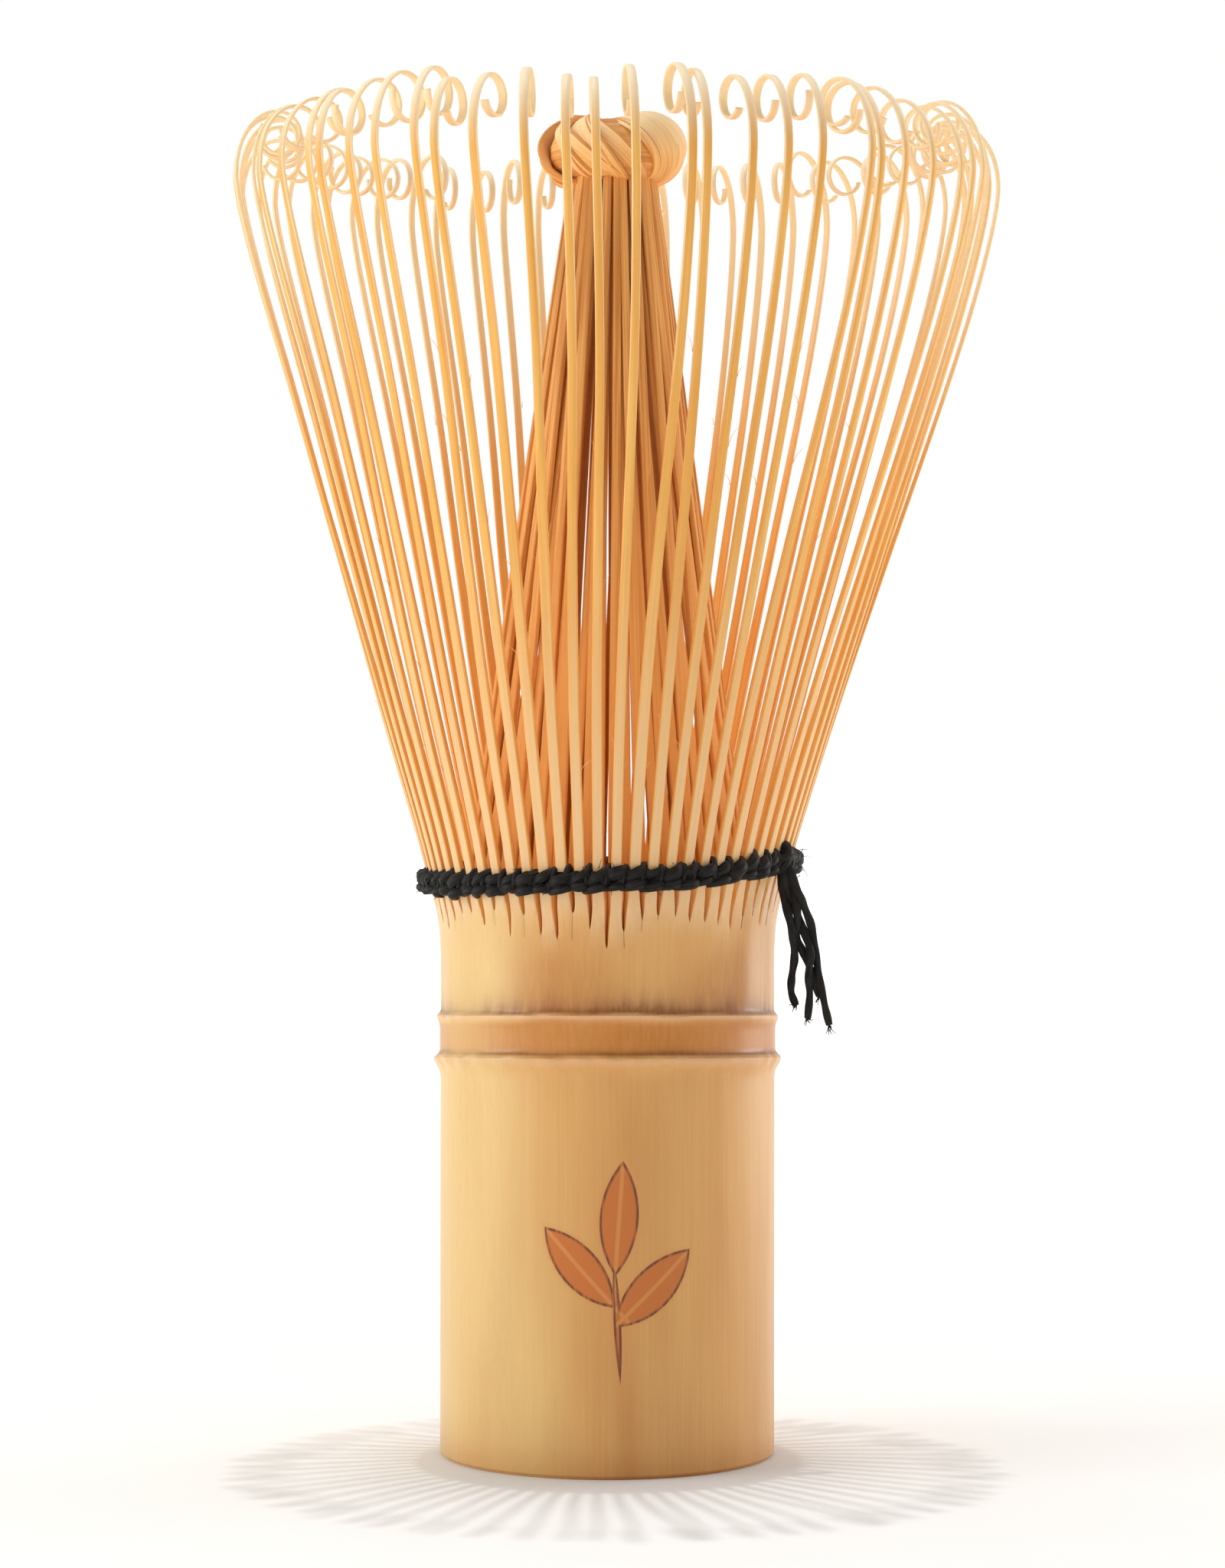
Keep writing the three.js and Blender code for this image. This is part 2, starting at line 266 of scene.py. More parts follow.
FACTOR, A, B, MIXED = 0, 6, 7, 2  # the sockets of a Mix node that mixes colours
print("srgb of #808080 is", round(srgb("#808080")[0], 4))


# %% A wood pattern: fibres, blotches and their relief
def fibre_noise(tree, across_mm, along_mm, detail=3.0):
    """Noise on the grain attribute, drawn out along the fibre. Its cells are across_mm by along_mm."""
    grain = add_node(tree, "Attribute", {}, attribute_name="grain")
    scale = (1 / across_mm, 1 / across_mm, 1 / along_mm)
    stretched = add_node(tree, "Mapping", {"Vector": grain.outputs["Vector"], "Scale": scale})
    noise = add_node(
        tree,
        "TexNoise",
        {"Vector": stretched.outputs[0], "Scale": 1.0, "Detail": detail, "Roughness": 0.6},
    )
    return noise.outputs["Factor" if "Factor" in noise.outputs else "Fac"]


def wood(name, light, dark, deep, fibre_mm, relief_mm, rough, **values):
    """Bamboo: light and dark fibres, blotches of a deeper tone, and a relief that follows the fibres.
    Its painted colour is returned too, so that more can be painted over it."""
    material, tree, shader = new_material(name, **values)
    fine = fibre_noise(tree, fibre_mm, 60 * fibre_mm)
    broad = fibre_noise(tree, 3.5, 22.0, 1.0)
    strand = add_node(tree, "MapRange", {"Value": fine, "From Min": 0.36, "From Max": 0.66}).outputs[0]
    strands = add_node(tree, "Mix", {FACTOR: strand, A: srgb(light), B: srgb(dark)}, data_type="RGBA")
    blotch = add_node(
        tree, "MapRange", {"Value": broad, "From Min": 0.42, "From Max": 0.72, "To Max": 0.55}
    ).outputs[0]
    toned = add_node(
        tree, "Mix", {FACTOR: blotch, A: strands.outputs[MIXED], B: srgb(deep)}, data_type="RGBA"
    ).outputs[MIXED]
    tree.links.new(toned, shader.inputs["Base Color"])
    rougher = add_node(
        tree,
        "MapRange",
        {"Value": fine, "From Min": 0.3, "From Max": 0.7, "To Min": rough - 0.07, "To Max": rough + 0.09},
    )
    tree.links.new(rougher.outputs[0], shader.inputs["Roughness"])
    bump = add_node(tree, "Bump", {"Height": fine, "Strength": 0.35, "Distance": relief_mm * MM})
    tree.links.new(bump.outputs[0], shader.inputs["Normal"])
    return material, tree, shader, toned


def tinted(made, none_mm, most_mm, share, colour):
    """Paints a tone over a wood, from nothing at one height to a share of it at another. It returns what
    it was given, with the new colour, so that another tone can follow."""
    material, tree, shader, toned = made
    place = add_node(tree, "TexCoord", {}).outputs["Object"]
    height = add_node(tree, "SeparateXYZ", {0: place}).outputs["Z"]
    thinned = add_node(
        tree,
        "MapRange",
        {"Value": height, "From Min": none_mm * MM, "From Max": most_mm * MM, "To Max": share},
        interpolation_type="SMOOTHSTEP",
    ).outputs[0]
    paled = add_node(tree, "Mix", {FACTOR: thinned, A: toned, B: srgb(colour)}, data_type="RGBA")
    tree.links.new(paled.outputs[MIXED], shader.inputs["Base Color"])
    return material, tree, shader, paled.outputs[MIXED]


print("materials so far:", len(bpy.data.materials))

# %% [markdown]
# The outer face of an outer tine is scraped culm skin: pale and a little pink at the foot, where the
# knife has just gone under the skin, and golden higher up. Its sides and back are cut wood, more orange.
# Towards the crown the sliver is shaved so thin that light comes through it; that is painted as a paler
# tone on its skin and cut faces, which is painted light. The inner tines are all cut wood, and darker,
# with a paler tone painted lower down, as painted light that comes through the thin wood into the cone.
# The knot's strips were folded while wet, and dried smooth and golden, with a paler tone painted towards
# the top, which is painted light. The saw cuts and the bore are raw wood, coarse and matt, and the
# diaphragm is papery and pale.

# %% Finishes of the tines, the knot and the inside
DRY = {"Specular_IOR_Level": 0.3}  # cut fibres scatter the light, and shine less than the closed skin
scraped = wood("scraped_bamboo_skin", "#F6BD64", "#EEAB4E", "#E49A3C", 0.16, 0.02, 0.5, **DRY)
scraped = tinted(scraped, 76, 46, 0.75, "#F2CB9C")
# Painted light: paler towards the crown, for the light that comes through the thin sliver.
tine_skin, _, _, _ = tinted(scraped, 97, 103.2, 0.85, "#FFF0D0")
sliced = wood("cut_bamboo_sliver", "#F8BA68", "#EEA64C", "#E4963A", 0.14, 0.03, 0.6, **DRY)
# Painted light: the cut faces paler higher up, for the light that comes through the thin sliver.
tine_cut, _, _, _ = tinted(sliced, 72, 102, 0.9, "#FFE9BC")
inner = wood("cut_inner_bamboo", "#F8BA6A", "#D68C42", "#B46824", 0.18, 0.04, 0.62, **DRY)
# Painted light: the inner tines paler lower down, for the light that comes through the wood into the shaded
# cone.
inner_wood, _, _, _ = tinted(inner, 90, 50, 0.75, "#FFBA66")
folded = wood("folded_bamboo_strip", "#FFD088", "#F0AE5A", "#DE9542", 0.14, 0.03, 0.55, **DRY)
# Painted light: the knot paler towards its top.
knot_wood, _, _, _ = tinted(folded, 99.5, 104, 0.6, "#FFEBC0")
cut_culm, _, _, _ = wood("split_culm_wood", "#FABC6C", "#EEA654", "#E0943E", 0.2, 0.05, 0.66)
membrane, _, _, _ = wood("bamboo_diaphragm", "#E6CFA2", "#D6B57C", "#C79E62", 0.5, 0.05, 0.7)
print("wood finishes:", [m.name for m in bpy.data.materials])

# %% [markdown]
# The culm's skin is the same wood, denser and smoother. At the node the sheath that once wrapped the stem
# has left a scar: a dark line of torn fibres above each ridge, ridges rubbed pale and pinkish, and a
# golden band between. Scar and band are patchy and weaker towards the left, where the left panel's light
# falls: partly real patches, partly painted light. The left side is painted paler, as painted light from
# that panel, and the other side has warm blotches. Where the tines begin, the skin is scraped off. All
# those are drawn on the mesh as attributes, and the material reads them.
# On the front of the handle is a burnt mark. Here it is a plain sprig of tea, two leaves and a bud. A
# picture could be projected there, but a leaf is the overlap of two discs, so its distance is one short
# sum: the length of (|x| + r - w, y) less r, for a leaf of half width w that two discs of radius r make.

# %% Culm skin
skin, skin_tree, skin_shader, skin_toned = wood(
    "culm_skin", "#EAB266", "#E5AA5D", "#D49042", 0.22, 0.006, 0.42, Coat_Weight=0.3, Coat_Roughness=0.3,
)
painted = skin_toned
tatter = fibre_noise(skin_tree, 0.3, 1.6)
# The paler left side among these tones is painted light from the left panel.
for attribute, colour, most in (
    ("pale", "#EBCC84", 0.7),
    ("warm", "#BE7426", 0.6),
    ("scraped", "#F0C896", 0.7),
    ("golden", "#C8780E", 1.0),
    ("ridge", "#E9B98C", 0.75),
    ("scar", "#8C4A10", 0.9),
):
    amount = add_node(skin_tree, "Attribute", {}, attribute_name=attribute).outputs["Fac"]
    torn = add_node(
        skin_tree,
        "MapRange",
        {"Value": tatter, "From Min": 0.35, "From Max": 0.6, "To Min": 0.8 * most, "To Max": most},
    ).outputs[0]
    share = add_node(skin_tree, "Math", {0: amount, 1: torn}, operation="MULTIPLY", use_clamp=True)
    painted = add_node(
        skin_tree, "Mix", {FACTOR: share.outputs[0], A: painted, B: srgb(colour)}, data_type="RGBA"
    ).outputs[MIXED]
print("culm skin nodes:", len(skin_tree.nodes))

# %% The burnt sprig
SPRIG_MM = (  # the middle's place across and up, the lean in degrees, half the length, half the width
    (0.9, 19.6, -4, 4.3, 1.45),
    (-2.1, 15.9, 42, 4.0, 1.5),
    (3.5, 14.3, -46, 4.1, 1.55),
    (0.75, 11.9, 3, 4.6, 0.27),
)
STALK_MM = 1.0  # what is narrower than this has no vein
FAR_MM = 99.0
unrolled = add_node(skin_tree, "UVMap", {}, uv_map="unrolled").outputs[0]
nearest = FAR_MM
vein = FAR_MM
for across, up, tilt, half_length, half_width in SPRIG_MM:
    round_mm = (half_length**2 + half_width**2) / (2 * half_width)
    turn = np.radians(tilt)
    placed = add_node(
        skin_tree,
        "Mapping",
        {"Vector": unrolled, "Location": (across, up, 0), "Rotation": (0, 0, turn)},
        vector_type="TEXTURE",
    )
    x, y, _ = add_node(skin_tree, "SeparateXYZ", {0: placed.outputs[0]}).outputs
    side = add_node(skin_tree, "Math", {0: x}, operation="ABSOLUTE").outputs[0]
    reach = add_node(skin_tree, "Math", {0: side, 1: round_mm - half_width}, operation="ADD").outputs[0]
    corner = add_node(skin_tree, "CombineXYZ", {0: reach, 1: y}).outputs[0]
    far = add_node(skin_tree, "VectorMath", {0: corner}, operation="LENGTH").outputs["Value"]
    gap = add_node(skin_tree, "Math", {0: far, 1: round_mm}, operation="SUBTRACT").outputs[0]
    nearest = add_node(skin_tree, "Math", {0: gap, 1: nearest}, operation="MINIMUM").outputs[0]
    if half_width > STALK_MM:
        vein = add_node(skin_tree, "Math", {0: side, 1: vein}, operation="MINIMUM").outputs[0]
print("sprig of", len(SPRIG_MM), "shapes")

# %% Burn it into the skin
HALO_MM = 0.45
BURNT_EDGE_MM = 0.24
halo = add_node(
    skin_tree, "MapRange", {"Value": nearest, "From Max": HALO_MM, "To Min": 0.55, "To Max": 0.0}
)
filled = add_node(
    skin_tree,
    "MapRange",
    {"Value": nearest, "From Min": -0.02, "From Max": 0.05, "To Min": 1.0, "To Max": 0.0},
)
vein_light = add_node(
    skin_tree,
    "MapRange",
    {"Value": vein, "From Min": 0.1, "From Max": 0.2, "To Min": 0.55, "To Max": 0.0},
)
edge = add_node(
    skin_tree,
    "MapRange",
    {"Value": nearest, "From Min": -BURNT_EDGE_MM, "From Max": -0.1, "To Max": 0.95},
)
char = fibre_noise(skin_tree, 0.25, 3.0)
broken = add_node(
    skin_tree,
    "MapRange",
    {"Value": char, "From Min": 0.35, "From Max": 0.55, "To Min": 0.25, "To Max": 1.0},
)
lit = add_node(skin_tree, "Math", {0: filled.outputs[0], 1: vein_light.outputs[0]}, operation="MULTIPLY")
inside = add_node(skin_tree, "Math", {0: filled.outputs[0], 1: edge.outputs[0]}, operation="MULTIPLY")
burnt = add_node(skin_tree, "Math", {0: inside.outputs[0], 1: broken.outputs[0]}, operation="MULTIPLY")
for share, colour in ((halo, "#E09848"), (filled, "#D07018"), (lit, "#E49C4C"), (burnt, "#5E2A0A")):
    painted = add_node(
        skin_tree, "Mix", {FACTOR: share.outputs[0], A: painted, B: srgb(colour)}, data_type="RGBA"
    ).outputs[MIXED]
skin_tree.links.new(painted, skin_shader.inputs["Base Color"])
print("culm skin nodes with the sprig:", len(skin_tree.nodes))

# %% [markdown]
# The thread is spun silk or cotton, dyed black: matt, with a little sheen from loose fibres. Its plies
# are about 0.2 mm. They could be modelled, but at that size a relief along the cord does as well.

# %% Black thread
thread, thread_tree, thread_shader = new_material(
    "spun_black_thread", IOR=1.5, Specular_IOR_Level=0.3, Sheen_Weight=0.06, Sheen_Roughness=0.5
)
thread_shader.inputs["Sheen Tint"].default_value = srgb("#6A625A")
ply = fibre_noise(thread_tree, 0.13, 0.9)
worn = add_node(thread_tree, "MapRange", {"Value": ply, "From Min": 0.3, "From Max": 0.75}).outputs[0]
inked = add_node(
    thread_tree, "Mix", {FACTOR: worn, A: srgb("#0A0806"), B: srgb("#1E1813")}, data_type="RGBA"
)
thread_tree.links.new(inked.outputs[MIXED], thread_shader.inputs["Base Color"])
matt = add_node(
    thread_tree,
    "MapRange",
    {"Value": ply, "From Min": 0.3, "From Max": 0.7, "To Min": 0.75, "To Max": 0.45},
)
thread_tree.links.new(matt.outputs[0], thread_shader.inputs["Roughness"])
thread_bump = add_node(thread_tree, "Bump", {"Height": ply, "Strength": 0.8, "Distance": 0.12 * MM})
thread_tree.links.new(thread_bump.outputs[0], thread_shader.inputs["Normal"])
print("thread nodes:", len(thread_tree.nodes))

# %% [markdown]
# ## The outline of the whisk
#
# Every piece shares one outline: straight at the handle, and flaring where the culm is split. It is a
# table of heights and radii with a smooth curve through them. Above the node a real whisk leans a little,
# because the tines were bent by hand, so a small shift to the right grows with height. The thread sits
# higher at the right, where it is tied, than at the left.

# %% Outline, lean and the thread's height
SKIN_HEIGHTS_MM = (0, 20, 29, 36, 39.5, 41.6, 43.5, 45.2, 46.8, 48.4, 50, 55, 60, 90)
SKIN_RADII_MM = (13, 13, 13, 12.98, 13.02, 13.2, 13.62, 14.06, 14.48, 14.93, 15.41, 16.94, 18.47, 27.67)
THREAD_ANGLES_DEG = (-204, -180, -145, -120, -90, -60, -45, -30, -24, -10, 30, 90, 156)
THREAD_HEIGHTS_MM = (44.7, 44.6, 44.5, 44.75, 45.0, 45.35, 45.75, 46.05, 46.3, 46.1, 45.6, 45.0, 44.7)


def skin_radius(height):
    """The distance of the whisk's outer face from its axis."""
    return smooth_curve(SKIN_HEIGHTS_MM, SKIN_RADII_MM, height)


def lean(height):
    """How far the tines have shifted to the right at a height."""
    return smooth_curve((46, 58, 70, 85, 94, 104), (0, 0.12, 0.4, 0.75, 0.72, 0.5), height)


def thread_height(angle):
    """The height of the middle of the woven thread."""
    turned = (np.degrees(angle) + 204) % 360 - 204
    return smooth_curve(THREAD_ANGLES_DEG, THREAD_HEIGHTS_MM, turned)


front_radius = float(skin_radius(thread_height(-np.pi / 2)))
print("outer radius at the thread's front:", round(front_radius, 2), "mm")

# %% [markdown]
# ## Camera, light and table
#
# The camera is level with the middle of the whisk and about 33 cm away. The light is a bright white room
# with soft panels: one at the left and a smaller one behind at the right. Two lights come from overhead,
# a soft one, and a crisp one that leaves faint rays on the table between the tines. They are suns, because
# a sun lights the far end of the white tabletop as much as the near one. The tabletop is a sheet of white
# paper with a painted glow that grows away from the whisk, so it has no far edge: painted light, which
# also leaves the table near the whisk darker, as painted shade. The room gives less light from the
# front than from the sides and the back, which is what rounds the handle, and to the camera it looks
# whiter than the light that it gives.

# %% Camera
LENS_MM = 96.7
CAMERA_PLACE_M = (0.0004, -0.328, 0.0535)
LOOKS_DOWN_DEG = 0.25
camera_data = bpy.data.cameras.new("camera")
camera_data.lens = LENS_MM
camera = bpy.data.objects.new("camera", camera_data)
camera.location = CAMERA_PLACE_M
camera.rotation_euler = (np.radians(90 - LOOKS_DOWN_DEG), 0, 0)
bpy.context.scene.collection.objects.link(camera)
bpy.context.scene.camera = camera
bpy.context.scene.view_settings.view_transform = "Standard"
print("camera at", tuple(round(v, 4) for v in camera.location))

# %% White room
ROOM_FRONT, ROOM_BACK, ROOM_CEILING = 0.43, 0.84, 0.6
world = bpy.data.worlds.new("white_room")
world.use_nodes = True
bpy.context.scene.world = world
room = world.node_tree
towards = add_node(room, "TexCoord", {}).outputs["Generated"]
_, back, upwards = add_node(room, "SeparateXYZ", {0: towards}).outputs
wall = add_node(
    room,
    "MapRange",
    {"Value": back, "From Min": -0.8, "From Max": 0.5, "To Min": ROOM_FRONT, "To Max": ROOM_BACK},
).outputs[0]
ceiling = add_node(
    room,
    "MapRange",
    {"Value": upwards, "From Min": 0.3, "From Max": 0.8, "To Min": 1.0, "To Max": ROOM_CEILING},
).outputs[0]
wall = add_node(room, "Math", {0: wall, 1: ceiling}, operation="MULTIPLY").outputs[0]
seen = add_node(room, "LightPath", {}).outputs["Is Camera Ray"]
strength = add_node(room, "MapRange", {"Value": seen, "To Min": wall, "To Max": 1.0}).outputs[0]
room.nodes["Background"].inputs["Color"].default_value = (1.0, 1.0, 1.0, 1.0)
room.links.new(strength, room.nodes["Background"].inputs["Strength"])
print("room lights with", ROOM_FRONT, "from the front and", ROOM_BACK, "from the back")


# %% Soft panels
WHISK_MIDDLE_M = (0, 0, 0.05)


def panel(name, place, size, watts):
    """A square area light at a place, turned to face the middle of the whisk."""
    data = bpy.data.lights.new(name, "AREA")
    data.size = size
    data.energy = watts
    lamp = bpy.data.objects.new(name, data)
    lamp.location = place
    towards = Vector(WHISK_MIDDLE_M) - Vector(place)
    lamp.rotation_euler = towards.to_track_quat("-Z", "Y").to_euler()
    bpy.context.scene.collection.objects.link(lamp)


panel("left_panel", (-0.42, -0.1, 0.16), 0.25, 0.75)
panel("right_rim_panel", (0.34, 0.16, 0.1), 0.16, 0.35)

# %% Lights from overhead
SUNS = (("overhead_soft", 0.68, 0.5), ("overhead_crisp", 0.84, 0.021))  # name, strength, angle it spans
SUN_TILT_DEG = -5
for name, power, spread_rad in SUNS:
    overhead_data = bpy.data.lights.new(name, "SUN")
    overhead_data.energy = power
    overhead_data.angle = spread_rad
    overhead = bpy.data.objects.new(name, overhead_data)
    overhead.rotation_euler = (np.radians(SUN_TILT_DEG), 0, 0)
    bpy.context.scene.collection.objects.link(overhead)
print("suns:", [name for name, _, _ in SUNS])

# %% Tabletop
TABLE_HALF_M = 3.0
table_mesh = bpy.data.meshes.new("tabletop")
table_corners = [(x * TABLE_HALF_M, y * TABLE_HALF_M, 0.0) for x, y in ((-1, -1), (1, -1), (1, 1), (-1, 1))]
table_mesh.from_pydata(table_corners, [], [(0, 1, 2, 3)])
tabletop = bpy.data.objects.new("tabletop", table_mesh)
white_table, table_tree, table_shader = new_material(
    "white_tabletop", Roughness=0.8, Specular_IOR_Level=0.0
)
table_place = add_node(table_tree, "TexCoord", {}).outputs["Object"]
away = add_node(table_tree, "VectorMath", {0: table_place}, operation="LENGTH").outputs["Value"]
dust = add_node(table_tree, "TexNoise", {"Vector": table_place, "Scale": 40.0})
table_tint = add_node(
    table_tree, "Mix", {FACTOR: dust.outputs[0], A: srgb("#F7F6F4"), B: srgb("#F2F1EF")}, data_type="RGBA"
)
table_tree.links.new(table_tint.outputs[MIXED], table_shader.inputs["Base Color"])
# Painted light: the emission grows away from the whisk, so the far table is brighter and the near table
# darker, as painted shade.
glow = add_node(
    table_tree, "MapRange", {"Value": away, "From Min": 0.06, "From Max": 0.45, "To Max": 0.4}
)
table_shader.inputs["Emission Color"].default_value = (1.0, 1.0, 1.0, 1.0)
table_tree.links.new(glow.outputs[0], table_shader.inputs["Emission Strength"])
table_mesh.materials.append(white_table)
bpy.context.scene.collection.objects.link(tabletop)
print("tabletop", 2 * TABLE_HALF_M, "m wide")

# %% [markdown]
# ## The culm
#
# The handle, the node and the feet of the tines are one tube of bamboo. It could be a turned profile with
# wedges cut out by a Boolean, but each cut would leave ragged faces in the smooth skin. Instead the tube
# is made of 64 upright strips, one under each tine. A strip's left and right edges meet its neighbours'
# below the saw cut and draw apart inside it, so the cuts are part of the grid, each with a depth, a shape
# and a waver of its own. Each strip is closed by an inner face, and by walls where a cut is open.

# %% Levels up the culm, and the saw cuts
FINE_MM = 0.16  # between the levels at the node and at the saw cuts
RIM_LEVELS_MM = (0, 0.12, 0.3, 1)  # close together where the bottom rim is rounded
levels = np.concatenate([
    RIM_LEVELS_MM, np.arange(2.5, 28, 2.5), np.arange(28.6, 36, FINE_MM), np.arange(36.4, 39.4, 0.7),
    np.arange(39.6, 46.01, FINE_MM),
])
top_level = levels[-1]
rng = np.random.default_rng(64)
cut_bottom = rng.uniform(40.5, 42.9, TINES) - 1.2 * (rng.random(TINES) < 0.12)
cut_width = rng.uniform(0.5, 0.66, TINES)
cut_shape = rng.uniform(0.25, 0.75, TINES)
cut_waver = rng.uniform(0, 2 * np.pi, TINES)
opened = np.clip((levels - cut_bottom[:, None]) / (top_level - cut_bottom[:, None]), 0, 1)
half_cut = 0.5 * cut_width[:, None] * opened ** cut_shape[:, None] / skin_radius(levels)
cut_middle = (np.arange(TINES) * PITCH)[:, None] + 0.0035 * np.sin(levels * 1.1 + cut_waver[:, None])
print("saw cuts reach down to", round(cut_bottom.min(), 1), "-", round(cut_bottom.max(), 1), "mm")

# %% The strips' angles
across_strip = np.array([0, 0.07, 0.36, 0.64, 0.93, 1])
left_edge = cut_middle + half_cut
right_edge = np.roll(cut_middle - half_cut, -1, axis=0)
right_edge[-1] += 2 * np.pi
strip_angle = left_edge[..., None] + (right_edge - left_edge)[..., None] * across_strip
level_grid = np.broadcast_to(levels[None, :, None], strip_angle.shape)
print("strips, levels, columns:", strip_angle.shape)

# %% The strips' heights and radii
# A height is the level, tilted at the node and stretched above it to meet the thread. A radius is that of
# the outline, plus a bell-shaped bump at each ridge, the step between them and a slow waviness.
NODE_LEVEL = 32.4
RIDGE_OFF_MM = 1.6  # each ridge's distance from the node's level
LOW_RISE_MM, HIGH_RISE_MM, BAND_RISE_MM = 0.5, 0.3, 0.08
RIM_MM = 0.3
NODE_TILT_MM = 0.75  # the node is this much higher at the front
node_tilt = -NODE_TILT_MM * np.sin(strip_angle) * ramp(level_grid, 14, 29) * (1 - ramp(level_grid, 35.5, 40))
stretch = np.clip((level_grid - 42) / (top_level - 42), 0, 1)
strip_height = level_grid + node_tilt + stretch * (thread_height(strip_angle) - top_level)
wander = 0.045 * ripple(5, strip_angle, 0, 18, 0)
from_low = level_grid - (NODE_LEVEL - RIDGE_OFF_MM) + wander
from_high = level_grid - (NODE_LEVEL + RIDGE_OFF_MM) - wander
lumpy = 1 + 0.14 * ripple(6, strip_angle, level_grid, 60, 2.0)
low_ridge = np.exp(-((from_low / np.where(from_low > 0, 0.34, 0.75)) ** 2))
high_ridge = np.exp(-((from_high / np.where(from_high > 0, 0.25, 0.5)) ** 2))
plateau = ramp(from_low, 0, 0.8) * (1 - ramp(from_high, -0.8, 0))
at_cut = np.isin(across_strip, (0, 1)) * (opened > 0)[..., None]
ridges = lumpy * (LOW_RISE_MM * low_ridge + HIGH_RISE_MM * high_ridge)
strip_outer = skin_radius(strip_height) + ridges + BAND_RISE_MM * plateau
strip_outer = strip_outer + 0.02 * ripple(7, strip_angle, level_grid, 9, 0.12) - 0.05 * at_cut
rounded = RIM_MM * np.clip(1 - level_grid / RIM_MM, 0, 1)
strip_outer = strip_outer - rounded
print("ridge radius:", round(float(strip_outer[:, (levels > 28) & (levels < 36)].max()), 2), "mm")

# %% The bore and the thin feet above it
# The blade is a wedge, so a cut closes to nothing at its inner side: there the strips meet.
FOOT_THICKNESS_MM = 0.85
BORE_RADIUS_MM = 10.4
inner_right = np.roll(cut_middle, -1, axis=0)
inner_right[-1] += 2 * np.pi
inner_angle = cut_middle[..., None] + (inner_right - cut_middle)[..., None] * across_strip
bore = BORE_RADIUS_MM + rounded
foot_inner = strip_outer - FOOT_THICKNESS_MM
strip_inner = bore + (foot_inner - bore) * ramp(level_grid, 38.4, 40.2)


def strip_points(angle, radius):
    """Points of all strips: out by the radius at an angle, up by the strip's height."""
    flat = outwards(angle) * radius[..., None]
    flat[..., 2] = strip_height
    return flat.reshape(-1, 3)


culm_points = np.concatenate(
    [strip_points(strip_angle, strip_outer), strip_points(inner_angle, strip_inner)]
)
print("culm points:", len(culm_points))


# %% Faces of the strips
def strip_sheets(number):
    """The four corners of each face of every strip, from its points' numbers."""
    corners = [number[:, :-1, :-1], number[:, :-1, 1:], number[:, 1:, 1:], number[:, 1:, :-1]]
    return np.stack(corners, -1).reshape(-1, 4)


def strip_faces():
    """Outer and inner faces, the rim below, the ledge above, and a wall on each open side of a cut."""
    number = np.arange(strip_angle.size).reshape(strip_angle.shape)
    inner = number + number.size
    outer_faces = strip_sheets(number)
    inner_faces = strip_sheets(inner)[:, ::-1]
    rim = [inner[:, 0, :-1], inner[:, 0, 1:], number[:, 0, 1:], number[:, 0, :-1]]
    top = [number[:, -1, :-1], number[:, -1, 1:], inner[:, -1, 1:], inner[:, -1, :-1]]
    caps = [np.stack(c, -1).reshape(-1, 4) for c in (rim, top)]
    left_open = half_cut[:, 1:] > 0
    right_open = np.roll(left_open, -1, axis=0)
    left = np.stack([inner[:, :-1, 0], number[:, :-1, 0], number[:, 1:, 0], inner[:, 1:, 0]], -1)
    right = np.stack([number[:, :-1, -1], inner[:, :-1, -1], inner[:, 1:, -1], number[:, 1:, -1]], -1)
    cut_faces = np.concatenate([inner_faces, *caps, left[left_open], right[right_open]])
    return outer_faces, cut_faces


outer_faces, cut_faces = strip_faces()
print("skin faces:", len(outer_faces), "cut faces:", len(cut_faces))

# %% The culm's mesh
culm = make_piece(
    "whisk_culm",
    {
        "points": culm_points,
        "faces": np.concatenate([outer_faces, cut_faces]),
        "grain": culm_points,
        "look": np.repeat([0, 1], [len(outer_faces), len(cut_faces)]),
    },
    [skin, cut_culm],
    ["culm_handle"],
)
CULM_RADIUS_MM = 13
strip_start = np.repeat(np.arange(TINES) * PITCH, strip_angle[0].size)
start_unrolled = (strip_start + 1.5 * np.pi) % (2 * np.pi) - np.pi
round_mm = CULM_RADIUS_MM * (start_unrolled + strip_angle.ravel() - strip_start)
unrolled_mm = np.stack([np.tile(round_mm, 2), culm_points[:, 2]], -1)
corner_point = np.zeros(len(culm.data.loops), np.int32)
culm.data.loops.foreach_get("vertex_index", corner_point)
uv_map = culm.data.uv_layers.new(name="unrolled")
uv_map.uv.foreach_set("vector", unrolled_mm[corner_point].astype(np.float32).ravel())
print("culm of", len(culm.data.polygons), "faces, unrolled", np.ptp(round_mm).round(1), "mm round")

# %% What the sheath left at the node, and the culm's tones
# Each is a share from 0 to 1 at every point: scar and golden keep to the node, the paler left side
# (painted light) and warm to one side of the stem each, and scraped starts just under the saw cuts. Slow
# ripples break their edges up.
streaks = 0.5 + 0.5 * ripple(8, strip_angle, level_grid, 70, 0.4)
# Real patches, and weaker towards the left, where the left panel's light falls, which is painted light; it
# thins the scar and the golden band.
patches_and_lit_left = np.clip(0.62 + 0.38 * np.cos(strip_angle + 0.7) + 0.2 * ripple(9, strip_angle, 0, 8, 0), 0.1, 1)
above_high = ramp(from_high, 0.1, 0.28) * np.exp(-np.clip(from_high - 0.36, 0, None) / 0.85)
above_low = ramp(from_low, 0.18, 0.36) * np.exp(-np.clip(from_low - 0.42, 0, None) / 0.16)
scar = np.clip((above_high * (0.9 + 0.7 * streaks) + 1.1 * above_low) * patches_and_lit_left, 0, 1)
rubbed = np.exp(-(((from_high + 0.05) / 0.2) ** 2)) + 0.7 * np.exp(-(((from_low + 0.2) / 0.35) ** 2))
golden = plateau * (0.2 + 0.8 * patches_and_lit_left)
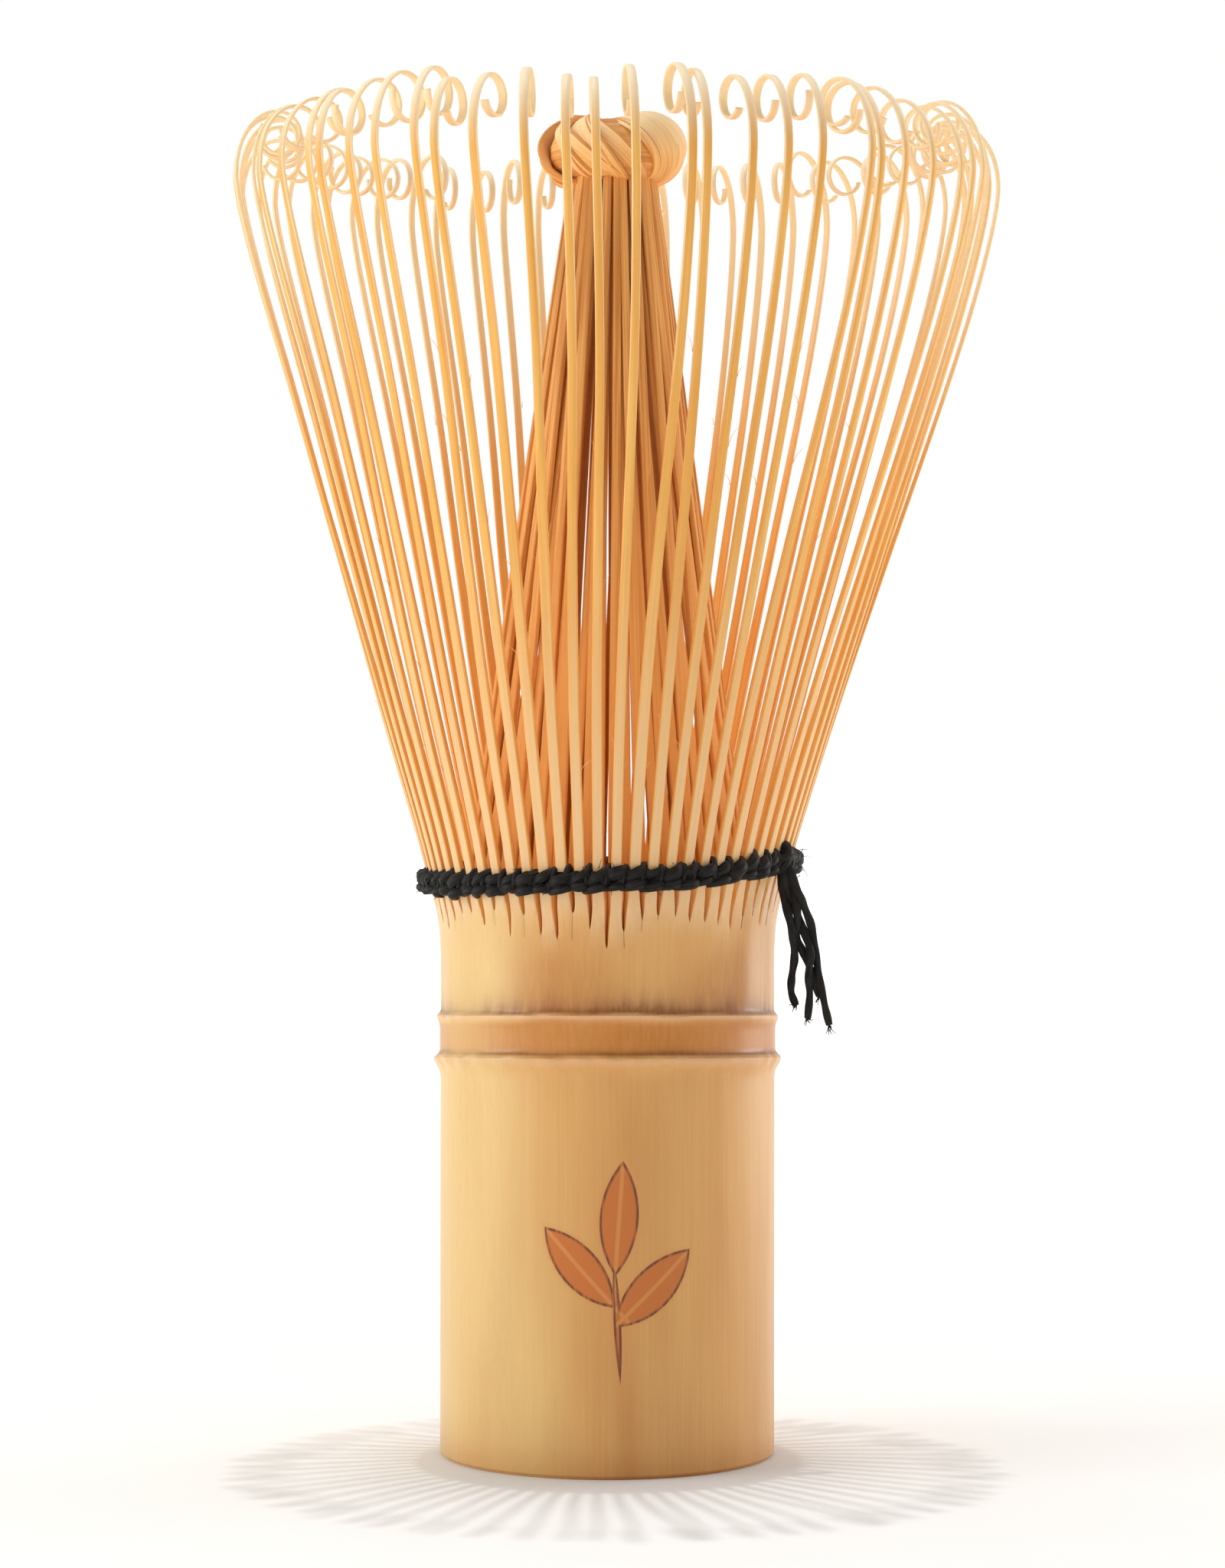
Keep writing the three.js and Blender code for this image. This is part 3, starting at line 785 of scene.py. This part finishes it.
# The left side, which the left panel lights, is painted paler: painted light.
lit_side = np.cos(strip_angle + 2.9) + 0.22 * ripple(14, strip_angle, level_grid, 5, 0.08)
pale = ramp(lit_side, 0.1, 1.1)
blotchy = np.cos(strip_angle + 0.9) + 0.5 * ripple(15, strip_angle, level_grid, 6, 0.35)
near_node = (0.3 + 0.7 * ramp(level_grid, 27, 35)) * (1 - 0.5 * ramp(level_grid, 38, 42))
warm = ramp(blotchy, -0.1, 1.3) * near_node
warm = np.maximum(warm, 0.7 * (1 - ramp(level_grid, 0, 4)))
between = np.maximum(cut_bottom, np.roll(cut_bottom, -1))[:, None, None]
scraped_off = ramp(level_grid - between + 0.5 * streaks, -1.6, 1.9)
ridge = np.clip(rubbed, 0, 1)
painted_on = {"scar": scar, "ridge": ridge, "golden": golden, "pale": pale, "warm": warm}
painted_on["scraped"] = scraped_off
for name, values in painted_on.items():
    layer = culm.data.attributes.new(name, "FLOAT", "POINT")
    layer.data.foreach_set("value", np.tile(values.ravel(), 2).astype(np.float32))
print("darkest scar:", round(float(scar.max()), 2))

# %% Close the strips' shared edges
import bmesh

sewn = bmesh.new()
sewn.from_mesh(culm.data)
bmesh.ops.remove_doubles(sewn, verts=sewn.verts, dist=0.002 * MM)
sewn.to_mesh(culm.data)
sewn.free()
culm.data.set_sharp_from_angle(angle=np.radians(35))
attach(culm, "split_culm")
print("culm sewn to", len(culm.data.vertices), "points")

# %% [markdown]
# Inside, at the node, the culm is closed by its diaphragm: a thin papery wall, a little domed, thicker
# where it grows into the culm. It is only seen from below. One profile from its middle out, carried round
# the axis, gives both its faces.

# %% Diaphragm
DISC_MM = 10.5
DISC_SIDES = 96
disc_radius = np.concatenate([np.linspace(0.02, 9.2, 16), (9.7, 10.1, DISC_MM)])
dome = 0.5 * np.cos(disc_radius / DISC_MM * np.pi / 2)
thicker = 0.9 * ramp(disc_radius, 8.6, DISC_MM)
profile_radius = np.concatenate([disc_radius, disc_radius[::-1]])
profile_height = np.concatenate([31.5 + dome - thicker, (32.7 + dome + thicker)[::-1]])
round_angle = np.arange(DISC_SIDES) * 2 * np.pi / DISC_SIDES
crumple = 0.06 * ripple(11, round_angle[None], profile_radius[:, None] * 3, 14, 1.0)
disc = outwards(np.broadcast_to(round_angle, crumple.shape)) * profile_radius[:, None, None]
disc[..., 2] = profile_height[:, None] + crumple
disc_points = disc.reshape(-1, 3)
disc_faces = grid_faces(len(profile_radius), DISC_SIDES, True, True)
disc_shell = {
    "points": disc_points,
    "faces": facing_out(disc_points, disc_faces),
    "grain": disc_points,
    "look": np.zeros(len(disc_faces)),
}
make_piece(
    "node_wall", disc_shell, [membrane], ["node_diaphragm"], "split_culm"
)
print("diaphragm of", len(disc_faces), "faces")

# %% [markdown]
# ## The outer tines
#
# Each outer tine is a shaved sliver about 0.8 mm wide: straight from its foot, bent upright at the crown,
# and curled inwards over a hot rod. It could be a bevelled curve, but the section of a bevel is the same
# all round, and a sliver's skin face, sides and back must look different. So a rounded rectangle is
# carried along the line. No two tines of a real whisk are alike, so each gets its own small drift
# sideways, height, curl and twist. The drift of the tines at the front is given one by one. Two
# neighbours make one piece.

# %% How each tine differs from the next
rng = np.random.default_rng(7)
FRONT_TINES = slice(36, 61)
FRONT_DRIFT_DEG = (
    -0.9, 1.0, 1.9, 0.8, 1.0, 0.3, 1.2, -0.8, -0.7, 1.2, 1.4, 0.0, -0.1,
    2.3, -1.3, -0.2, -0.3, -0.3, 2.3, -1.0, -1.6, -0.8, 0.5, -0.1, -0.5,
)
NEAREST_TINES = slice(44, 52)
NEAREST_TWIST_DEG = (-8, 7, 3, 4, 4, 8, 4, 7)
drift_deg = rng.normal(0, 0.75, TINES).clip(-1.7, 1.7)
drift_deg[FRONT_TINES] = FRONT_DRIFT_DEG
tine_drift = np.radians(drift_deg)
twist_deg = rng.normal(0, 8, TINES).clip(-18, 18)
twist_deg[FRONT_TINES] *= 0.5
twist_deg[NEAREST_TINES] = NEAREST_TWIST_DEG
tine_twist = np.radians(twist_deg)
tine_out = rng.normal(0, 0.3, TINES).clip(-0.7, 0.7)
tine_up = rng.normal(-0.2, 0.25, TINES).clip(-0.7, 0.4)
tine_width = rng.normal(0.8, 0.035, TINES).clip(0.72, 0.9)
curl_size = rng.normal(0.95, 0.05, TINES).clip(0.84, 1.06)
curl_turns = rng.normal(1.1, 0.07, TINES).clip(0.95, 1.25)
print("drift of the first tines, degrees:", np.degrees(tine_drift[:4]).round(2))

# %% The line of a tine in its own upright plane
CROWN_RADIUS_MM, CROWN_HEIGHT_MM = 29.4, 98.8
BEND_START_MM, BEND_CORNER_MM = 86.8, 96.3
CURL_IN_MM, CURL_UP_MM, CURL_RADIUS_MM, TIGHTENING_MM = 3.5, 3.3, 1.75, 0.03
STRAIGHT_ROWS, BEND_ROWS, CURL_ROWS = 25, 12, 40
CROWN_ROW = STRAIGHT_ROWS + BEND_ROWS


def shaved(up):
    """How thick a tine is at a height: it is shaved thinner on the way to 80 mm."""
    return 0.42 - 0.12 * ramp(up, 46, 80)


def tine_line(foot, turns, size):
    """Distances out and up along a tine: a straight part, a bend that is a parabola from the line to
    upright, and a spiral that settles from the bend's reach to the curl's radius and then tightens."""
    straight_up = np.linspace(foot, BEND_START_MM, STRAIGHT_ROWS + 1)[:-1]
    straight_out = skin_radius(straight_up) - shaved(straight_up) / 2
    t = np.linspace(0, 1, BEND_ROWS + 1)[:-1]
    start_out = skin_radius(BEND_START_MM) - 0.15
    bend_out = start_out * (1 - t) ** 2 + CROWN_RADIUS_MM * (1 - (1 - t) ** 2)
    bend_up = BEND_START_MM * (1 - t) ** 2 + 2 * BEND_CORNER_MM * t * (1 - t) + CROWN_HEIGHT_MM * t**2
    turned = np.linspace(0, 2 * np.pi * turns, CURL_ROWS)
    reach = np.hypot(CURL_IN_MM, CURL_UP_MM)
    first = -np.arctan2(CURL_UP_MM, CURL_IN_MM)
    settle = (reach - CURL_RADIUS_MM) / (reach * np.tan(-first))
    spiral = CURL_RADIUS_MM + (reach - CURL_RADIUS_MM) * np.exp(-turned / settle)
    spiral = spiral - TIGHTENING_MM * turned
    curl_out = CROWN_RADIUS_MM + size * (spiral * np.cos(first + turned) - CURL_IN_MM)
    curl_up = CROWN_HEIGHT_MM + size * (spiral * np.sin(first + turned) + CURL_UP_MM)
    out = np.concatenate([straight_out, bend_out, curl_out])
    up = np.concatenate([straight_up, bend_up, curl_up])
    return out, up


out, up = tine_line(45.0, 1.12, 1.0)
print("a tine's line has", len(out), "rows and reaches", round(up.max(), 1), "mm")


# %% A sliver's section and frame
def sliver_section(width, thickness, round_off=0.07, crown=0.025):
    """A rounded rectangle of ten points, its outer face a little crowned, one row for each width."""
    w = width[:, None] / 2
    t = thickness[:, None] / 2
    r = np.minimum(round_off, 0.6 * t)
    x = np.concatenate([-w, -w + r, 0 * w, w - r, w, w, w - r, 0 * w, -w + r, -w], 1)
    y = np.concatenate([t - r, t, t + crown, t, t - r, -t + r, -t, -t, -t, -t + r], 1)
    return np.stack([x, y], -1)


def sliver(path, side, width, thickness, number, skin_columns=(1, 2)):
    """A sliver of wood along a path, lying flat across the side direction. The section's outer columns
    have look 0 and the cut ones look 1."""
    tangent = unit(np.gradient(path, axis=0))
    across = unit(side - tangent * (side * tangent).sum(-1, keepdims=True))
    out = np.cross(across, tangent)
    section = sliver_section(width, thickness)
    points, faces, column = sweep(path, across, out, section)
    steps = np.linalg.norm(np.diff(path, axis=0), axis=1)
    along = np.concatenate([[0], np.cumsum(steps)]) + 17 * number
    grain = np.concatenate([section, np.broadcast_to(along[:, None, None], section.shape[:2] + (1,))], -1)
    grain[..., 0] += 5 * number
    look = np.where(np.isin(column, skin_columns), 0, 1)
    return {"points": points, "faces": faces, "grain": grain.reshape(-1, 3), "look": look}


print("a sliver's section has", sliver_section(np.ones(1), np.ones(1)).shape[1], "points")


# %% One outer tine
UNDER_THREAD_MM = 0.35


def outer_tine(k):
    """Tine k: its line turned to its angle, drifting sideways with height, its curl turned by its
    twist, and its foot under the thread."""
    foot = thread_height(tine_angles[k]) - UNDER_THREAD_MM
    out, up = tine_line(foot, curl_turns[k], curl_size[k])
    row = np.arange(len(up))
    rise = ramp(up, 50, CROWN_HEIGHT_MM)
    rise[CROWN_ROW:] = 1
    angle = tine_angles[k] + tine_drift[k] * rise
    turn = tine_twist[k] * ramp(up, 66, 97)
    turn[CROWN_ROW:] = tine_twist[k]
    out = out + tine_out[k] * rise
    up = up + tine_up[k] * rise
    path = outwards(angle) * np.where(row < CROWN_ROW, out, out[CROWN_ROW])[:, None]
    inwards = np.where(row < CROWN_ROW, 0, out - out[CROWN_ROW])
    path = path + outwards(angle + turn) * inwards[:, None]
    path[:, 2] = up
    path[:, 0] += lean(up)
    side = outwards(angle + turn + np.pi / 2)
    thickness = shaved(up) - 0.06 * ramp(row, STRAIGHT_ROWS, 45)
    width = tine_width[k] * (1.02 - 0.15 * ramp(up, 50, 85) - 0.06 * ramp(row, CROWN_ROW, row[-1]))
    finer = 0.04 + 0.16 * ramp(np.sin(tine_angles[k]), -0.2, 0.8)  # more so at the back
    width = width * (1 - finer * ramp(up, 55, 90))
    return sliver(path, side, width, thickness, k), path


shell, path = outer_tine(0)
tine_length = np.linalg.norm(np.diff(path, axis=0), axis=1).sum()
print("one tine:", len(shell["faces"]), "faces,", round(tine_length, 1), "mm long")

# %% [markdown]
# A knife leaves splinters on the edges of the tines: hairs of fibre a millimetre or two long. Each is a
# tapering cord of a few faces, grown from a random place on the tine's edge.


# %% Splinters
def splinter(path, k, rng):
    """A hair from a random row of the tine's line, curving away up and to one side."""
    row = rng.integers(3, 24)
    length = rng.uniform(0.5, 1.7)
    side = rng.choice([-1, 1])
    around = outwards(tine_angles[k] + np.pi / 2) * side
    upwards = unit(path[row + 1] - path[row])
    t = np.linspace(0, 1, 6)[:, None]
    start = path[row] + around * 0.5 * tine_width[k] * 0.96
    bow = outwards(tine_angles[k]) * rng.uniform(-0.2, 0.5)
    climb = upwards * t * rng.uniform(0.5, 1)
    hair = start + length * (climb + (around * rng.uniform(0.1, 0.7) + bow) * t**2)
    return tube(hair, np.linspace(0.035, 0.012, 6), outwards(tine_angles[k]), corners=4)


print("a splinter has", len(splinter(path, 0, np.random.default_rng(0))["faces"]), "faces")


# %% All the outer tines, two to a piece
rng = np.random.default_rng(21)
for pair in range(TINES // 2):
    shells = []
    for k in (2 * pair, 2 * pair + 1):
        shell, path = outer_tine(k)
        shells.append(shell)
        shells += [splinter(path, k, rng) for _ in range(rng.integers(1, 4))]
    name = f"{pair + 1:02d}"
    piece = make_piece(
        "carved_tines_" + name, join(shells), [tine_skin, tine_cut],
        ["outer_tine_pair_" + name],
    )
    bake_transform(piece)
print("outer tines:", TINES, "in", TINES // 2, "pieces")

# %% [markdown]
# ## The inner tines
#
# The inner half of each sliver was left thick and leans in to the centre. There are as many as outer
# tines, and at the top they crowd together in layers, so every other one lies deeper and they narrow on
# the way. Each goes in a straight line from the bore to the knot, with a slight bow, slant and twist of
# its own. They hardly bend, and ride on the culm.

# %% Inner tines
rng = np.random.default_rng(33)
INNER_GROUPS = 16
INNER_ROWS = 14
INNER_FOOT_MM = 39.2
INNER_FOOT_RADIUS_MM, NECK_RADIUS_MM, LAYER_MM = 11.6, 3.15, 0.75
FOOT_WIDTH_MM, NECK_WIDTH_MM, INNER_THICKNESS_MM = 0.84, 0.6, 0.42
KNOT_X_MM = 0.45  # how far the knot stands to the right of the axis
share = np.linspace(0, 1, INNER_ROWS)
for group in range(INNER_GROUPS):
    shells = []
    for k in range(4 * group, 4 * group + 4):
        tip_radius = NECK_RADIUS_MM - LAYER_MM * (k % 2)
        slant = np.radians(rng.normal(0, 6))
        angle = tine_angles[k] + slant * ramp(share, 0.1, 1) + np.radians(rng.normal(0, 0.6))
        distance = INNER_FOOT_RADIUS_MM + (tip_radius - INNER_FOOT_RADIUS_MM) * share
        distance = distance + 0.15 * np.sin(np.pi * share) * rng.normal()
        path = outwards(angle) * distance[:, None]
        path[:, 2] = INNER_FOOT_MM + (knot_low + 0.4 - INNER_FOOT_MM) * share
        path[:, 0] += KNOT_X_MM * share**1.3
        twist = np.radians(rng.normal(0, 16)) * ramp(share, 0.2, 1)
        side = outwards(angle + np.pi / 2 + twist)
        width = rng.normal(FOOT_WIDTH_MM, 0.04) + (NECK_WIDTH_MM - FOOT_WIDTH_MM) * share
        made = sliver(path, side, width, np.full(INNER_ROWS, INNER_THICKNESS_MM), k + 100)
        made["look"] = 0
        shells.append(made)
    name = f"{group + 1:02d}"
    make_piece(
        "inner_tines_" + name, join(shells), [inner_wood],
        ["inner_tine_group_" + name], "split_culm",
    )
print("inner tines:", TINES, "in", INNER_GROUPS, "pieces")

# %% [markdown]
# ## The knot
#
# At the top the inner tines' tips are wetted, folded over and tucked into each other, which makes a bun
# of slanting strips. One solid bun with a relief would look cast, so each strip is its own sliver: it
# comes up from the cone, goes out round the bun's belly, slants as it rises, and dives into the middle.
# One edge of each strip is lifted over its neighbour's, as in a turban, each by its own amount. A ring
# inside fills the gaps. The ring and the strips' narrow edges have the darker inner wood, which draws a
# line between one strip and the next.

# %% The ring inside the knot
BUN_RADIUS_MM = 2.75  # from the axis to the middle of the bun's thickness
RING_THICKNESS_MM = 2.3
knot_middle = (knot_low + knot_high) / 2 - 0.15
turn = np.arange(48) * 2 * np.pi / 48
core_path = outwards(turn) * (BUN_RADIUS_MM - 0.15)
core_path[:, 0] += KNOT_X_MM
core_path[:, 2] = knot_middle - 0.2
core = tube(core_path, RING_THICKNESS_MM, (0, 0, 1), closed=True, corners=16)
core["look"] = 1
print("ring of", len(core["faces"]), "faces, middle", round(knot_middle, 2), "mm up")

# %% The strips of the knot
# belly is the angle round the bun's thickness: below at -90 degrees, outermost at 0, on top at 90.
rng = np.random.default_rng(12)
STRIPS = 28
BELLY_OUT_MM, BELLY_UP_MM, BELLY_DOWN_MM = 2.5, 2.2, 2.45
STRIP_WIDTH_MM, STRIP_THICKNESS_MM = 1.7, 0.3
OUTER_AND_BACK = (1, 2, 6, 7)
belly = np.radians(np.linspace(-118, 205, 40))
shells = [core]
for n in range(STRIPS):
    start = 2 * np.pi * (n + rng.normal(0, 0.45)) / STRIPS + 0.9
    swirl = np.radians(rng.normal(70, 26))
    angle = start - swirl * (belly + np.pi / 2) / np.pi
    fat = rng.normal(0.99, 0.05) + 0.03 * np.sin(2 * start + 0.6)
    tucked = rng.normal(0.25, 0.4) * ramp(belly, 1.6, 3.4)
    distance = BUN_RADIUS_MM + BELLY_OUT_MM * fat * np.cos(belly) - tucked
    lobe = 1 + 0.09 * np.cos(2 * angle + 0.5)
    tall = np.where(belly < 0, BELLY_DOWN_MM, BELLY_UP_MM * lobe)
    path = outwards(angle) * distance[:, None]
    path[:, 2] = knot_middle + fat * tall * np.sin(belly) - 0.35 * ramp(belly, 2.0, 3.4)
    path[:, 0] += KNOT_X_MM
    normal = outwards(angle) * np.cos(belly)[:, None]
    normal[:, 2] = np.sin(belly)
    tangent = unit(np.gradient(path, axis=0))
    side = np.cross(tangent, unit(normal))
    lift = rng.normal(0.3, 0.12)
    lifted = side * np.cos(lift) + normal * np.sin(lift)
    narrowed = 0.45 + 0.55 * np.sin(np.pi * np.clip((belly + 2.1) / 5.6, 0, 1)) ** 0.7
    width = rng.normal(STRIP_WIDTH_MM, 0.3) * narrowed
    thickness = np.full(len(belly), STRIP_THICKNESS_MM)
    shells.append(sliver(path, lifted, width, thickness, n + 200, OUTER_AND_BACK))
make_piece(
    "gathered_knot", join(shells), [knot_wood, inner_wood], ["centre_knot"],
    "split_culm",
)
print("knot of", STRIPS, "strips")

# %% [markdown]
# ## The thread
#
# One black thread goes round the feet of the outer tines twice, in front of each tine and behind it the
# other way, so every tine has a fat slanting stitch from each round, and the stitch's end climbs into the
# gap beside it. It could be one strip with a relief, but the lumps show against the light. Here each
# stitch is a short cord bowed out over its tine, and behind them two strands twist round each other, a
# whole number of turns, so each meets its own start. It is a woven part of the whisk and no free cord.

# %% Twisted strands behind the stitches
ROWS = 640
STRAND_TURNS = 32
STRAND_MM = 0.42
round_again = np.arange(ROWS) * 2 * np.pi / ROWS
band_height = thread_height(round_again)
band_radius = skin_radius(band_height)
shells = []
for strand in range(2):
    phase = STRAND_TURNS * round_again + 2.2 * np.sin(round_again + 1.8) + strand * np.pi
    uneven = 1 + 0.1 * ripple(40 + strand, round_again, 0, 60, 0)
    path = outwards(round_again) * (band_radius + 0.02 + 0.16 * np.cos(phase))[:, None]
    path[:, 2] = band_height - 0.05 + STRAND_MM * np.sin(phase) * uneven
    shells.append(tube(path, STRAND_MM * uneven, outwards(round_again), closed=True))
print("two strands of", ROWS, "rows")

# %% Stitches over the tines
rng = np.random.default_rng(41)
REACH = 0.72  # to each side of a tine's middle, as a share of the pitch
STITCH_ROUNDS = ((-0.52, 0.37, 0.28), (0.26, 0.44, 0.6))  # height off the middle, thickness, slant
t = np.linspace(-REACH, REACH, 13)
bow = np.cos(t / REACH * np.pi / 2)
for off_middle, thick, slant in STITCH_ROUNDS:
    for k in range(TINES):
        angle = tine_angles[k] + PITCH * (t + rng.normal(0, 0.05))
        here = thread_height(angle)
        path = outwards(angle) * (skin_radius(here) - 0.3 + 0.88 * bow + rng.normal(0, 0.07))[:, None]
        path[:, 2] = here + off_middle + slant * rng.normal(1, 0.35) * t + rng.normal(0, 0.09)
        size = thick * (0.72 + 0.3 * bow) * rng.normal(1, 0.12)
        shells.append(tube(path, size, outwards(angle), flat=0.9))
make_piece(
    "woven_thread", join(shells), [thread], ["thread_lower_round", "thread_upper_round"],
    "split_culm",
)
print("stitches:", len(shells) - 2)

# %% Loops between the tines
rng = np.random.default_rng(5)
shells = []
t = np.linspace(0, 1, 8)
LOOP_SHARES = (0, 0.35, 0.7, 1)
for gap in range(TINES):
    angle = gap * PITCH
    middle = float(thread_height(angle))
    radius = float(skin_radius(middle))
    rise = rng.uniform(0.75, 1.1)
    out = radius + smooth_curve(LOOP_SHARES, (0.35, 0.42, -0.1, -0.75), t)
    path = outwards(angle + 0.012 * rng.normal() + 0.03 * (t - 0.5)) * out[:, None]
    path[:, 2] = middle + smooth_curve(LOOP_SHARES, (-0.3, 0.5, rise, 0.6), t)
    shells.append(tube(path, 0.3 - 0.08 * t, outwards(np.full(8, angle + np.pi / 2)), flat=0.85))
print("loops:", len(shells))

# %% Loose fibres
FIBRES = 150
for _ in range(FIBRES):
    angle = rng.uniform(0, 2 * np.pi)
    middle = float(thread_height(angle))
    root = outwards(np.array(angle)) * (skin_radius(middle) + 0.75)
    root[2] = middle + rng.uniform(-1.0, 1.1)
    away = unit(outwards(np.array(angle)) * 0.5 + rng.normal(0, 0.5, 3))
    s = np.linspace(0, 1, 5)[:, None]
    hair = root + rng.uniform(0.3, 0.7) * (away * s + rng.normal(0, 0.3, 3) * s**2)
    shells.append(tube(hair, np.linspace(0.035, 0.015, 5), (0, 0, 1), corners=4))
make_piece("thread_loops", join(shells), [thread], ["thread_upper_round"], "split_culm")
print("loops and loose fibres:", len(shells))

# %% [markdown]
# The thread is tied at the right, and its two ends, each of several plies, hang from the knot and fray.
# They are stiff with size, so they stand off the handle. They are 13 mm long. The knot is three closed
# loops that lie across each other. Each ply is a flattened cord through a few points, and the plies cross
# and part on the way down.

# %% Thread knot
KNOT_ANGLE = np.radians(-24)
knot_up = float(thread_height(KNOT_ANGLE))
knot_out = float(skin_radius(knot_up))
turn = np.arange(24) * 2 * np.pi / 24
outward = outwards(np.array(KNOT_ANGLE))
sideways = outwards(np.array(KNOT_ANGLE + np.pi / 2))
upright = np.array([0, 0, 1.0])
KNOT_LOOPS_MM = (  # the place sideways, the tilt in radians, half the depth, half the height
    (-0.25, 0.5, 0.42, 1.0),
    (0.3, -0.4, 0.4, 0.85),
    (0.0, 1.35, 0.5, 0.75),
)
shells = []
for shift, tilt, width, height in KNOT_LOOPS_MM:
    lay = upright * np.cos(tilt) + sideways * np.sin(tilt)
    middle = outward * (knot_out + 0.42) + sideways * shift + upright * (knot_up + 0.25)
    loop = middle + np.cos(turn)[:, None] * outward * width + np.sin(turn)[:, None] * lay * height
    shells.append(tube(loop, 0.36, np.cross(outward, lay), closed=True))
make_piece("tied_thread_knot", join(shells), [thread], ["thread_knot"], "split_culm")
print("thread knot at", (outward * knot_out).round(1), "mm")

# %% Hanging ends
PLIES_MM = (  # each ply's points: right, towards the viewer, up
    ((13.4, 6.0, 47.0), (13.9, 6.5, 45.6), (14.5, 6.7, 44.0), (15.0, 6.5, 42.8), (15.6, 6.2, 41.2),
     (15.9, 6.3, 39.2), (16.2, 6.6, 37.2), (16.6, 6.7, 35.2), (16.95, 6.6, 33.7)),
    ((13.3, 6.2, 46.6), (13.5, 6.6, 45.2), (13.8, 6.3, 43.8), (14.5, 6.1, 42.2), (15.1, 6.4, 40.6),
     (15.5, 6.8, 39.2), (15.35, 6.8, 37.6), (15.45, 6.6, 36.0), (15.3, 6.5, 34.2)),
    ((13.2, 6.0, 46.4), (13.3, 6.1, 45.0), (13.5, 6.4, 43.4), (13.9, 6.7, 41.8), (14.2, 6.6, 40.2),
     (14.3, 6.3, 38.8), (14.1, 6.3, 37.4), (14.05, 6.4, 36.2), (14.4, 6.6, 35.2)),
    ((13.5, 6.1, 46.4), (14.1, 6.2, 45.0), (14.3, 6.5, 43.6), (14.5, 6.6, 42.0), (14.4, 6.3, 40.6),
     (14.9, 6.1, 39.4), (15.5, 6.3, 38.0), (15.9, 6.5, 36.8), (16.2, 6.3, 35.9)),
)
shells = []
rng = np.random.default_rng(9)
for ply in PLIES_MM:
    spots = np.array(ply) * (1, -1, 1)
    t = np.linspace(0, len(spots) - 1, 44)
    path = smooth_curve(np.arange(len(spots)), spots, t)
    size = (0.36 - 0.06 * t / t.max()) * (1 + 0.1 * np.sin(5.1 * t + spots[0, 0]))
    shells.append(tube(path, size, (0, -1, 0), flat=0.8))
    for _ in range(7):
        away = unit(rng.normal((0.1, 0, -0.8), (0.55, 0.4, 0.35)))
        s = np.linspace(0, 1, 6)[:, None]
        bend = rng.normal(0, 0.25, 3) * s**2
        hair = path[-1] + rng.uniform(0.3, 0.75) * (away * s + bend) + rng.normal(0, 0.06, 3)
        shells.append(tube(hair, np.linspace(0.07, 0.03, 6), (0, -1, 0), corners=4))
make_piece(
    "frayed_thread_ends", join(shells), [thread],
    ["thread_tail_1", "thread_tail_2", "thread_tail_3"], "split_culm",
)
print("hanging plies:", len(PLIES_MM))
